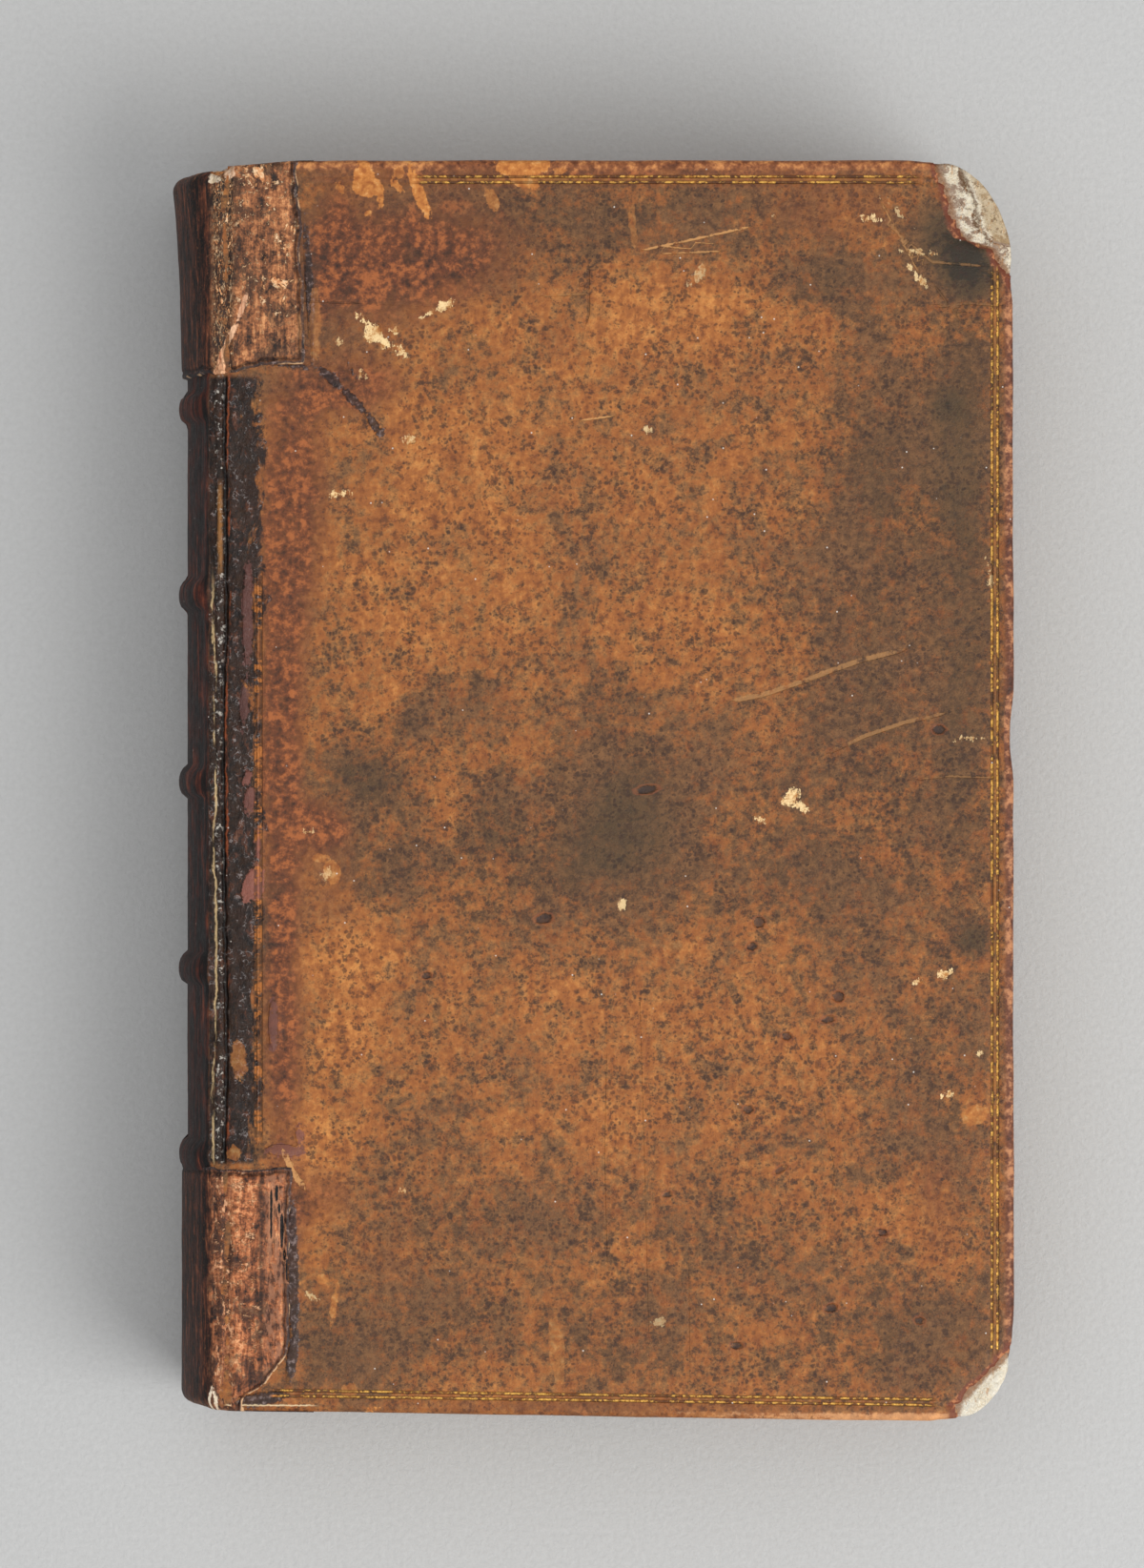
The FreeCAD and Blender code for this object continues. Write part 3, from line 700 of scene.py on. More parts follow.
# Marks on the front cover, in millimetres from the joint line and mid-height: the middle,
# the half width and half height, and how strong. Stains darken, rubbing lightens, and some
# places are redder than the rest.
STAINS = (
    (37.5, 83.5, 3.0, 3.0, 0.5), (95.5, 81.0, 9.0, 5.5, 0.55), (82.5, 74.5, 3.0, 2.0, 0.4),
    (115.5, 88.0, 7.0, 6.5, 1.05), (118.5, 82.0, 5.0, 4.5, 0.8), (117.0, 62.0, 6.5, 22.0, 0.5),
    (118.0, 14.0, 6.0, 42.0, 0.5), (118.5, -23.6, 4.5, 3.5, 0.6), (29.3, 11.4, 3.6, 3.2, 0.6),
    (21.7, 2.5, 8.5, 6.0, 0.75), (42.7, -4.0, 5.5, 8.0, 0.55), (60.8, 15.0, 4.5, 5.5, 0.4),
    (63.5, -4.5, 12.0, 13.5, 0.8), (28.0, 32.0, 3.0, 3.0, 0.35), (27.0, -12.0, 11.0, 9.0, 0.45),
    (26.0, -44.0, 2.5, 1.5, 0.3), (18.0, -88.5, 9.0, 8.0, 0.5), (19.0, 85.0, 8.0, 10.0, 0.35),
    (37.0, 70.0, 7.0, 6.0, 0.2), (42.0, -68.0, 16.0, 4.5, 0.4), (104.0, -84.0, 18.0, 10.0, 0.3),
    (80.0, -70.0, 14.0, 8.0, 0.2), (30.0, 88.0, 22.0, 12.0, 0.37), (66.0, 91.0, 28.0, 8.0, 0.45),
    (14.0, 78.0, 4.0, 16.0, 0.4), (100.0, 2.0, 16.0, 26.0, 0.45), (50.0, -14.0, 12.0, 8.0, 0.35),
    (104.0, 40.0, 14.0, 26.0, 0.42), (88.0, -14.0, 16.0, 8.0, 0.3), (114.3, 61.2, 2.6, 2.4, 0.4),
    (7.5, -22.0, 3.0, 8.5, 0.8), (112.0, -50.0, 9.0, 20.0, 0.3), (60.0, -86.0, 14.0, 8.0, 0.35),
    (103.0, 55.0, 10.0, 14.0, 0.25), (40.0, 16.0, 7.0, 9.0, 0.25), (112.0, -88.0, 12.0, 9.0, 0.25),
    (8.0, -74.0, 4.0, 12.0, 0.25), (36.0, -84.0, 10.0, 8.0, 0.25),
)
RUBBED = (
    (72.0, 76.5, 15.0, 8.5, 0.9), (30.6, 49.5, 4.5, 7.5, 0.6), (26.0, 42.0, 19.0, 25.0, 0.35),
    (34.7, -4.2, 3.0, 5.0, 0.5), (24.0, -24.5, 8.0, 5.5, 0.9), (22.0, -35.5, 5.5, 10.0, 0.8),
    (17.7, -37.8, 3.5, 3.0, 0.5), (48.0, -31.0, 3.0, 2.5, 0.35), (55.0, -31.0, 4.5, 3.0, 0.35),
    (73.0, -25.0, 5.0, 3.5, 0.4), (45.5, -93.0, 8.5, 4.0, 0.5), (62.0, -40.0, 22.0, 15.0, 0.3),
    (45.0, 62.0, 26.0, 14.0, 0.3), (80.0, 45.0, 20.0, 22.0, 0.2), (82.0, 16.0, 9.0, 8.0, 0.25),
    (15.0, -62.0, 6.0, 11.0, 0.55), (48.0, 30.0, 8.0, 16.0, 0.2), (36.0, 73.0, 14.0, 5.0, 0.2),
    (97.0, -5.0, 10.0, 9.0, 0.15), (60.0, -56.0, 16.0, 8.0, 0.15), (14.0, -38.0, 5.0, 22.0, 0.3),
)
REDDENED = (
    (10.5, 46.0, 6.0, 22.0, 0.9), (14.5, -5.5, 5.0, 4.0, 0.9), (9.0, -38.0, 3.6, 24.0, 0.8),
    (8.5, 8.0, 4.0, 28.0, 0.9), (17.0, -15.0, 5.0, 10.0, 0.4), (20.0, 64.0, 9.0, 5.0, 0.7),
    (24.0, 83.0, 15.0, 13.0, 0.6), (38.0, 86.0, 14.0, 9.0, 0.45), (17.0, 86.0, 4.0, 10.0, 0.5),
    (16.0, -64.0, 5.0, 5.0, 0.5), (26.0, -74.0, 9.0, 7.0, 0.3), (60.0, 98.0, 50.0, 2.2, 0.6),
    (60.0, -97.5, 50.0, 2.0, 0.4), (96.0, 92.0, 14.0, 6.0, 0.4), (9.5, -68.0, 4.0, 9.0, 0.6),
    (113.0, -66.0, 5.0, 14.0, 0.4),
)
# Scuffs down to pale flesh: the middle, half length and half width, turn in degrees, how pale.
SCUFFS = (
    (23.3, 72.8, 1.7, 1.2, 60, 1.0), (25.0, 71.2, 2.6, 0.7, -45, 1.0), (22.0, 74.6, 1.7, 0.7, -40, 1.0),
    (26.6, 73.2, 0.9, 0.6, 10, 0.9), (34.6, 77.2, 1.6, 0.7, 30, 1.0), (32.3, 75.9, 1.4, 0.2, 30, 0.9),
    (28.0, 69.6, 1.4, 0.6, -50, 1.0), (17.9, 71.2, 0.6, 0.7, 0, 0.7), (21.6, 66.0, 0.9, 0.6, -45, 0.7),
    (29.0, 55.8, 1.2, 0.8, -10, 0.8), (18.0, 47.2, 2.0, 0.55, 4, 1.0), (74.9, 82.0, 2.0, 0.8, 50, 0.5),
    (102.0, 91.0, 1.5, 0.5, -10, 0.9), (106.2, 92.2, 2.4, 0.35, -45, 0.6), (110.0, 85.6, 2.7, 0.5, -5, 0.7),
    (110.3, 81.1, 1.5, 0.6, -45, 0.8), (89.6, -1.0, 1.7, 1.1, 40, 1.0), (90.9, -2.2, 1.4, 0.7, -30, 1.0),
    (84.9, -4.6, 0.9, 0.6, -20, 1.0), (117.0, 8.3, 2.1, 0.35, 2, 0.7), (113.9, -29.0, 1.2, 0.8, 10, 1.0),
    (109.9, -30.2, 0.9, 0.4, 10, 0.9), (120.0, -41.5, 0.9, 0.4, 0, 0.8), (114.5, -48.2, 1.1, 0.5, 10, 1.0),
    (27.8, -63.4, 0.6, 0.45, 0, 0.9), (13.4, -80.2, 1.2, 0.5, -20, 0.6), (68.6, -84.3, 1.0, 0.7, 0, 0.4),
    (62.8, -17.9, 0.8, 1.0, 0, 0.8), (87.0, 91.5, 0.4, 0.3, 0, 0.8), (66.8, 57.3, 0.6, 0.5, 0, 0.7),
    (13.0, -6.4, 0.7, 0.4, 0, 0.6), (108.2, 83.3, 0.5, 0.4, 0, 0.8), (16.0, -13.0, 1.2, 0.8, 70, 0.6),
    (121.2, 34.5, 0.4, 2.0, 8, 0.9),
)
# Orange abrasions: the top grain gone, but not down to the flesh.
ABRASIONS = (
    (21.8, 98.0, 1.7, 1.6, 0, 1.0), (24.5, 94.5, 0.6, 1.8, 0, 0.9), (18.0, 96.0, 0.5, 1.2, 10, 0.7),
    (26.9, 96.3, 1.6, 0.6, -50, 0.9), (30.5, 95.2, 4.4, 1.0, -68, 1.0), (22.6, 91.8, 0.8, 0.5, 0, 0.8),
    (46.8, 99.0, 4.4, 1.4, 2, 1.0), (47.4, 96.6, 2.5, 1.0, -15, 0.9), (42.2, 94.0, 1.0, 2.0, 20, 0.5),
    (64.5, 90.0, 0.6, 4.5, 5, 0.35), (23.2, -98.6, 1.9, 0.8, 0, 1.0), (15.4, -77.4, 1.3, 0.9, 20, 0.6),
    (17.2, -80.6, 0.6, 3.4, -8, 0.6), (52.4, -88.5, 1.2, 6.0, 5, 0.35), (16.8, -12.8, 1.4, 2.0, 20, 0.55),
    (15.0, -10.6, 1.3, 0.7, 0, 0.5), (2.0, -42.6, 1.3, 3.3, 4, 0.45), (1.2, -57.4, 1.2, 1.3, 0, 0.5),
    (118.8, -51.4, 2.4, 1.6, 20, 0.6), (22.3, 96.0, 2.4, 1.6, 0, 0.9), (27.4, 98.2, 0.9, 1.0, 0, 0.6),
    (53.0, 98.6, 1.2, 0.5, 0, 0.6), (92.2, -46.4, 1.4, 2.0, 0, 0.3), (14.0, 74.0, 1.0, 6.0, 0, 0.3),
    (72.0, -25.0, 3.0, 1.5, 0, 0.3), (27.5, -45.0, 1.4, 1.0, 0, 0.3), (19.5, -95.0, 1.6, 1.2, 0, 0.5),
)
# Scratches and creases as lines of points, then the half width, how deep, and how pale: pale flesh
# in a scratch, and a painted highlight along a crease. One with a depth below 0 stands up.
SCRATCHES = (
    (((81.4, 14.6), (85.0, 15.3), (91.0, 17.3), (95.8, 19.1), (100.7, 20.8), (106.7, 22.3)),
     0.42, 1.0, 0.45),
    (((96.3, 6.5), (101.4, 8.8), (107.5, 10.9), (113.1, 12.2)), 0.34, 0.9, 0.4),
    (((57.4, 82.7), (57.5, 76.0), (57.3, 75.2)), 0.25, 1.0, 0.0),
    (((66.9, 86.1), (74.0, 87.6), (82.1, 89.4)), 0.22, 0.4, 0.9),
    (((69.8, 85.4), (77.5, 85.7)), 0.18, 0.3, 0.7),
    (((57.0, 59.0), (60.5, 59.5)), 0.2, 0.2, 0.9),
    (((60.3, -42.3), (60.0, -58.0), (60.4, -74.1)), 0.05, 0.3, 0.0),
    (((65.6, -33.2), (66.3, -58.0), (67.0, -85.4)), 0.04, 0.2, 0.0),
    (((73.4, -75.6), (73.5, -89.2)), 0.04, 0.2, 0.0),
    (((94.0, -46.0), (96.5, -60.0), (95.0, -72.0)), 0.04, 0.2, 0.0),
    (((9.3, -57.6), (10.4, -60.2), (12.0, -62.5)), 0.5, -1.0, 0.9),
    (((110.5, 2.0), (114.5, 2.4), (121.0, 2.2)), 0.2, 0.5, 0.3),
    (((8.5, 78.0), (20.0, 77.5)), 0.18, 0.5, 0.0),
    (((51.0, 78.7), (57.0, 79.0)), 0.2, 0.5, 0.3),
    (((105.0, 90.0), (112.0, 84.0), (119.0, 83.5)), 0.22, 0.6, 0.3),
    (((104.5, 92.5), (109.5, 83.0)), 0.18, 0.3, 0.5),
    (((114.0, 77.0), (117.5, 77.5), (122.0, 77.2)), 0.22, 0.7, 0.2),
    (((113.0, 79.5), (115.5, 76.0)), 0.2, 0.6, 0.1),
)
# Dark pits with a torn rim: the middle, half length and half width, turn in degrees.
PITS = (
    (66.7, 0.3, 2.0, 0.75, 8), (113.1, 9.8, 1.2, 0.8, 0), (50.3, -20.2, 1.6, 0.9, 10),
    (31.8, -29.2, 0.9, 0.7, 0), (84.5, -20.8, 1.1, 1.0, 0), (83.4, -24.6, 1.0, 0.8, 0),
    (97.1, -32.6, 1.1, 1.0, 0), (95.5, -36.2, 1.3, 0.7, 10), (88.9, -38.9, 1.0, 0.8, 0),
    (82.8, -50.5, 1.0, 0.8, 0), (29.0, 24.0, 0.7, 0.6, 0),
    (88.0, -60.0, 1.4, 0.6, 30), (104.0, -70.0, 1.2, 0.7, -20), (70.0, -64.0, 1.0, 0.6, 10),
    (96.0, -82.0, 1.2, 0.8, 15), (110.0, -84.0, 1.0, 0.7, -10), (81.0, -88.0, 1.2, 0.7, 0),
)
# Smears of black dressing beside the repairs, as slanted ovals.
SMEARS = (
    (16.6, 65.6, 2.7, 0.9, -42, 1.0), (20.2, 62.0, 3.0, 0.85, -46, 1.0), (23.2, 58.6, 2.6, 0.75, -56, 1.0),
    (24.4, 56.9, 0.9, 0.85, 0, 1.0), (13.2, 79.5, 11.6, 0.75, 93, 1.0), (20.0, 66.6, 2.6, 0.35, -62, 0.5),
    (10.6, -77.0, 13.5, 1.0, 91, 1.0), (6.0, -96.4, 4.6, 1.1, 6, 1.0), (10.4, -90.0, 4.5, 0.9, 84, 0.7),
    (11.0, 67.4, 4.0, 0.45, -3, 0.8),
)
# Loose flaps of skin beside the joint, and how far each has gone from purple brown to salmon.
FLAPS = (
    (4.9, -9.0, 3.4, 0.6, 88, 0.7), (4.3, -14.6, 3.2, 1.6, 62, 0.8), (4.7, -16.4, 1.2, 1.1, 0, 0.8),
    (3.4, 28.0, 8.6, 0.9, 90, 0.15), (2.9, 14.0, 4.4, 0.7, 86, 0.1), (3.6, -1.5, 2.4, 0.9, 80, 0.35),
    (9.2, -57.0, 3.1, 1.0, -4, 0.35), (11.6, -54.5, 0.7, 1.8, 0, 0.5), (3.2, 2.0, 1.4, 0.7, 70, 0.5),
    (7.4, -37.0, 4.0, 0.8, 90, 0.2),
)


def spread_of(marks, x, y):
    """Soft spots laid over each other: how strongly each point is touched."""
    total = np.zeros(x.shape)
    for mid_x, mid_y, half_x, half_y, strength in marks:
        far = np.hypot((x - mid_x) / half_x, (y - mid_y) / half_y)
        total = total + strength * np.exp(-1.1 * far ** 2.4)
    return total


def inside_of(marks, x, y):
    """How far inside the nearest of some slanted ovals each point is, in millimetres, and how
    strong that mark is."""
    depth = np.full(x.shape, -3.0)
    strength = np.zeros(x.shape)
    for mark in marks:
        mid_x, mid_y, half_x, half_y, turn = mark[:5]
        power = mark[5] if len(mark) > 5 else 1.0
        c = math.cos(math.radians(turn))
        s = math.sin(math.radians(turn))
        p = ((x - mid_x) * c + (y - mid_y) * s) / half_x
        q = ((y - mid_y) * c - (x - mid_x) * s) / half_y
        far = np.hypot(p, q)
        here = np.clip((1 - far) * min(half_x, half_y) * np.where(far > 1, 1.6, 1.0), -3, 3)
        nearer = here > depth
        depth = np.where(nearer, here, depth)
        strength = np.where(nearer, power, strength)
    return depth, strength


def beside_lines(lines, x, y, reach=1.4):
    """Signed distance across the nearest of some drawn lines, its half width, depth and
    paleness. The last three fade out away from the line."""
    nearest = np.full(x.shape, 99.0)
    across = np.full(x.shape, 99.0)
    half = np.zeros(x.shape)
    depth = np.zeros(x.shape)
    pale = np.zeros(x.shape)
    for points, width, deep, light in lines:
        for (x0, y0), (x1, y1) in zip(points, points[1:]):
            length = math.hypot(x1 - x0, y1 - y0)
            ux = (x1 - x0) / length
            uy = (y1 - y0) / length
            along = (x - x0) * ux + (y - y0) * uy
            side = (y - y0) * ux - (x - x0) * uy
            over = np.maximum(np.maximum(-along, along - length), 0)
            here = np.hypot(side, over)
            nearer = here < nearest
            nearest = np.where(nearer, here, nearest)
            across = np.where(nearer, side, across)
            near_end = ease(1.2, 0.2, over)
            half = np.where(nearer, width * near_end, half)
            depth = np.where(nearer, deep, depth)
            pale = np.where(nearer, light, pale)
    close = ease(reach, 0.7 * reach, nearest)
    return np.clip(across, -3, 3), half * close, depth * close, pale * close


def bands(s, y):
    """How high the raised bands stand. They die away on the shoulders."""
    height = np.zeros(s.shape)
    on_back = ease(-2.2, -6.0, s)
    for place in CORDS:
        far = np.abs(y - place - 0.25 * uneven(s, np.full(s.shape, place), 4, 41)) / BAND_HALF
        hump = np.sqrt(np.clip(1 - far ** 2, 0, 1)) * ease(1.05, 0.8, far)
        height = height + BAND_HEIGHT * hump * on_back
        # the slips make low ridges on the board beyond the joint
        board = ease(-0.5, 1.0, s) * ease(12.5, 8.5, s)
        strength = 0.45 if place == CORDS[-1] else 0.22
        height = height + strength * board * ease(2.0, 0.5, np.abs(y - place))
    return height


def fillet_grooves(across, along, x, y, joint_high):
    """How deep the tooled lines lie, from 0 to 1. joint_high is where those at the joint end."""
    grooves = np.zeros(x.shape)
    for inset in FILLET_INSETS:
        grooves = grooves + ease(0.45, 0.1, np.abs(along - (COVER_HEAD - inset))) * (x > 14)
        grooves = grooves + ease(0.45, 0.1, np.abs(along - (COVER_TAIL + inset))) * (x > 8)
        grooves = grooves + ease(0.45, 0.1, np.abs(across - (COVER_WIDTH - inset))) * (np.abs(y) < 86)
    for inset in FILLET_JOINT_INSETS:
        at_joint = ease(0.5, 0.1, np.abs(across - inset))
        grooves = grooves + at_joint * ease(joint_high, joint_high - 6, y) * ease(-58, -54, y)
    return np.clip(grooves, 0, 1)


def joint_relief(x, y, seed):
    """The crust and the cracks over a joint. Gives the height, and how far each point lies from
    the main crack and from the one at the edge of the spine."""
    near_joint = ease(6.5, 3.5, x) * ease(-3.6, -2.4, x)
    lumps = 0.22 * rough(x, y, 2.2, seed) + 0.16 * np.abs(uneven(x, y * 0.6, 0.9, seed + 1))
    main = x + 0.3 + 0.35 * uneven(0 * y, y, 14, seed + 2) + 0.12 * uneven(0 * y, y, 2.2, seed + 4)
    outer = x + 2.1 + 0.30 * uneven(0 * y, y, 9, seed + 3) + 0.12 * uneven(0 * y, y, 1.8, seed + 5)
    between_patches = ease(66.5, 65.5, y) * ease(-59.5, -58.5, y)
    cracks = -0.50 * ease(0.9, 0.1, np.abs(main)) - 0.40 * ease(0.6, 0.1, np.abs(outer))
    ledge = 0.28 * ease(-6.0, -3.2, x) * ease(-2.0, -2.5, x)
    return near_joint * lumps + (cracks + ledge) * between_patches, main, outer


def calf_half(name, front, columns, rows):
    """The skin from the middle of the spine over one cover, with its marks."""
    seed = 50 if front else 250
    mesh, across, along, rim = sheet(columns, rows, sum(CALF_FOLD),
                                     lambda across, along: across > 0.3)
    x, y, out_x, out_y = cover_plan(across, along, CALF_EDGE_ROUND)
    x = np.where(across > 0, x, across)
    base_x, base_z, facing_x, facing_z = section(x, CALF_OUT, CALF_HALF, CALF_SHOULDER, SPINE_MIDDLE)
    away, drop = fold(rim, CALF_FOLD, CALF_EDGE_ROUND, COVER_THICKNESS, CALF_TURN_IN)
    # the edge is a little out of true, and the front one dented at the middle of its fore edge
    wander = 0.16 * uneven(x, y, 22, seed + 1) + 0.06 * uneven(x, y, 5, seed + 2)
    dent = 0.55 * ease(7.5, 1.0, np.abs(y - 9.0)) * ease(112, 125, x) if front else 0
    away_x = out_x * (away + wander - dent)
    away_y = out_y * (away + 0.7 * wander)
    corner = worn_corner(x, y) + 0.7 * rough(x, y, 3.0, seed + 3) + 0.4 * uneven(x, y, 0.9, seed + 4)
    if front:
        stains, rubbed, reddened, smears, flaps = STAINS, RUBBED, REDDENED, SMEARS, FLAPS
        scuffs, sores, scratches, pits = SCUFFS, ABRASIONS, SCRATCHES, PITS
    else:
        dice = np.random.RandomState(11)
        stains = [(dice.uniform(4, 120), dice.uniform(-95, 95), dice.uniform(4, 18),
                   dice.uniform(4, 14), dice.uniform(0.25, 0.8)) for i in range(26)]
        rubbed = [(dice.uniform(8, 118), dice.uniform(-92, 92), dice.uniform(4, 20),
                   dice.uniform(4, 14), dice.uniform(0.2, 0.8)) for i in range(18)]
        reddened = [(dice.uniform(2, 14), dice.uniform(-60, 60), 5, 16, 0.6) for i in range(6)]
        scuffs = [(dice.uniform(6, 120), dice.uniform(-96, 96), dice.uniform(0.4, 2.2),
                   dice.uniform(0.3, 0.9), dice.uniform(0, 180), 0.9) for i in range(46)]
        sores = [(dice.uniform(6, 122), dice.choice([-98, 98]) + dice.uniform(-4, 4),
                  dice.uniform(0.8, 3.5), dice.uniform(0.6, 2), dice.uniform(0, 180), 0.8)
                 for i in range(22)]
        scratches = []
        for i in range(16):
            x0, y0 = dice.uniform(10, 110), dice.uniform(-88, 88)
            x1, y1 = x0 + dice.uniform(-22, 22), y0 + dice.uniform(-22, 22)
            scratches.append((((x0, y0), (x1, y1)), 0.2, dice.uniform(0.2, 0.9), dice.uniform(0, 0.8)))
        pits = [(dice.uniform(10, 120), dice.uniform(-92, 92), dice.uniform(0.7, 1.8),
                 dice.uniform(0.5, 0.9), dice.uniform(0, 180)) for i in range(22)]
        smears = [(dice.uniform(8, 16), dice.uniform(-90, 90), dice.uniform(3, 9), 0.8, 85, 1.0)
                  for i in range(5)]
        flaps = [(dice.uniform(2, 5), dice.uniform(-50, 50), dice.uniform(2, 5), 0.9, 88,
                  dice.uniform(0, 0.8)) for i in range(5)]
    scuff_depth, scuff_pale = inside_of(scuffs, x, y)
    sore_depth, sore_pale = inside_of(sores, x, y)
    pit_depth = inside_of(pits, x, y)[0]
    smear_depth = inside_of(smears, x, y)[0]
    flap_depth, flap_salmon = inside_of(flaps, x, y)
    scratch_across, scratch_half, scratch_deep, scratch_flesh_and_highlight = beside_lines(scratches, x, y)
    height = 0.10 * rough(x, y, 34, seed + 5, 2) + 0.045 * rough(x, y, 5.0, seed + 6)
    height = height + 0.02 * uneven(x, y, 1.4, seed + 7)
    joint_height, main_crack, outer_crack = joint_relief(x, y, seed + 8)
    height = height + joint_height + bands(across, y)
    height = height - 0.10 * fillet_grooves(across, along, x, y, 66 if front else 62)
    height = height - 0.22 * ease(-0.2, 0.5, pit_depth) + 0.08 * ease(0.9, 0.1, np.abs(pit_depth + 0.2))
    height = height + 0.22 * ease(-0.25, 0.15, flap_depth) + 0.12 * ease(-0.3, 0.3, smear_depth)
    height = height - 0.07 * ease(-0.1, 0.4, scuff_depth) * scuff_pale
    height = height - 0.10 * scratch_deep * ease(0.6, 0.1, np.abs(scratch_across))
    if not front:
        # the rear cover lies on the table, so nothing stands proud of it, and it gives way
        # to the repairs, which are let in level
        patched = ease(HEAD_PATCH_FOOT + 0.4, HEAD_PATCH_FOOT + 0.9, y) * ease(13.0, 12.4, x)
        patched = patched + ease(TAIL_PATCH_TOP - 0.4, TAIL_PATCH_TOP - 0.9, y) * ease(10.0, 9.4, x)
        flat_down = ease(-2.0, 0.5, x)
        height = height - flat_down * (0.24 + 0.45 * np.clip(patched, 0, 1))
        height = np.where(x > 0.3, np.minimum(height, 0), height)
    edge_rough = 0.05 * uneven(x + 9 * drop, y + 7 * drop, 2.5, seed + 12)
    height = np.where(rim < 1, height, 0.35 * height * (rim < 3) + edge_rough)
    sunk = ease(-0.35, 0.25, corner) * (rim < 11)
    push = height - 1.15 * sunk - 0.35 * ease(-3.5, -0.3, corner) * (rim < 11)
    thinned = (0.9 * sunk + 0.35 * ease(-3.5, -0.3, corner)) * (rim > 1)
    px = base_x + facing_x * (push - drop) + away_x - out_x * thinned
    py = y + away_y - out_y * thinned
    pz = base_z + facing_z * (push - drop)
    pz = np.where(rim > 10, COVER_TOP - COVER_THICKNESS + 0.02, pz)
    if not front:
        pz = COVER_TOP - pz
    put_points(mesh, px, py, pz)
    face_out(mesh, front)
    rest_x = np.where(across < 0, across, x + away_x)
    keep(mesh, "rest", np.stack([rest_x, y + away_y, base_z - drop + (0 if front else 400)], axis=1))
    tone = 0.02 * rough(x, y, 26, seed + 14)
    tone = tone - 0.42 * spread_of(stains, x, y) + 0.34 * spread_of(rubbed, x, y)
    from_edge = np.minimum(COVER_WIDTH - x, np.minimum(COVER_HEAD - y, y - COVER_TAIL))
    kept = {
        "tone": tone, "red": spread_of(reddened, x, y), "scuff": scuff_depth,
        "scuff_pale": scuff_pale, "sore": sore_depth, "sore_pale": sore_pale, "pit": pit_depth,
        "scratch": scratch_across, "scratch_half": scratch_half, "scratch_flesh_and_highlight": scratch_flesh_and_highlight,
        "smear": smear_depth, "flap": flap_depth, "flap_salmon": flap_salmon,
        "main_crack": main_crack, "outer_crack": outer_crack,
        "bare": corner, "across": np.where(rim > 0, across + np.abs(out_x) * 30, across),
        "along": np.where(rim > 0, along + out_y * 30, along),
        "edge": ease(2.5, 0.5, from_edge), "turned_in": (rim > 10).astype(float),
    }
    for attribute, values in kept.items():
        keep(mesh, attribute, values)
    made = piece(name, mesh, old_calf)
    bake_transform(made)
    return made


def near(value, middle, half, soft=0.08):
    """1 within half of a middle value, and 0 beyond it."""
    return abs(value - middle).rise(half + soft, half - soft)


calf = Finish("old_calf")
place = calf.rest()
across = calf.kept("across")
along = calf.kept("along")
tone = calf.kept("tone")
red = calf.kept("red")
turned = calf.kept("turned_in")
broad = calf.cloud(place, 16, 6, 0.62, 0.6)
middling = calf.cloud(place, 4.2, 5, 0.62, 0.4)
small = calf.cloud(place, 1.25, 4, 0.62)
grain = calf.cloud(place, 0.32, 3, 0.6)
long_rub = calf.cloud(calf.stretched(place, 1.0, 0.25, 1.0), 1.6, 4, 0.6)
speckle = calf.cloud(place, 1.5, 6, 0.82)
patchy = calf.cloud(place, 9, 4, 0.6)
# the rubbed grain is orange brown, and a film of old dressing and dirt lies over it in patches
rubbed_tone = calf.tones(0.35 * middling + 0.40 * small + 0.25 * long_rub,
                         (0.37, colour(118, 66, 34)), (0.49, colour(164, 99, 48)),
                         (0.61, colour(212, 142, 74)))
film_tone = calf.tones(0.5 * small + 0.3 * broad + 0.2 * grain,
                       (0.38, colour(50, 39, 30)), (0.49, colour(82, 59, 40)),
                       (0.60, colour(116, 81, 52)))
film = 0.51 - 1.1 * tone + 1.0 * (broad - 0.5) + 1.2 * (middling - 0.5) + 0.9 * (small - 0.5)
film = film + 0.4 * (long_rub - 0.5) + 1.5 * (speckle - 0.5)
leather = calf.blend(rubbed_tone, film_tone, film.rise(0.20, 0.80) * 0.93)
# handling and soot have left olive and near black stains
leather = calf.blend(leather, colour(72, 60, 40), (0 - tone).rise(0.16, 0.40) * (0.25 + 0.6 * middling))
leather = calf.blend(leather, colour(38, 35, 28), (0.8 * (small - 0.5) - tone).rise(0.36, 0.56) * 0.85)
# the sprinkling: fine dots and larger ones, thick in some places and missing in others
shaken = calf.shaken(place, 0.9, 0.9)
far, size = calf.dots(shaken, 0.8)
fine_dots = (size * patchy.rise(0.32, 0.60) * 0.68 - far).rise(-0.06, 0.10)
far, size = calf.dots(shaken, 2.3)
big_dots = (size * patchy.rise(0.60, 0.40) * 0.27 - far).rise(-0.03, 0.05)
leather = calf.blend(leather, colour(50, 34, 28), fine_dots.most(big_dots) * (0.1 + 0.9 * middling))
leather = calf.blend(leather, colour(60, 39, 29), speckle.rise(0.535, 0.60) * (0.2 + 0.7 * patchy))
# towards the joint it is redder, and blotched
red_mask = (red * (0.2 + 1.6 * middling)).rise(0.10, 0.8) * 0.85
leather = calf.blend(leather, calf.tones(0.25 * middling + 0.3 * small + 0.45 * speckle,
                                         (0.42, colour(44, 27, 22)), (0.50, colour(106, 57, 34)),
                                         (0.57, colour(172, 98, 52))), red_mask)
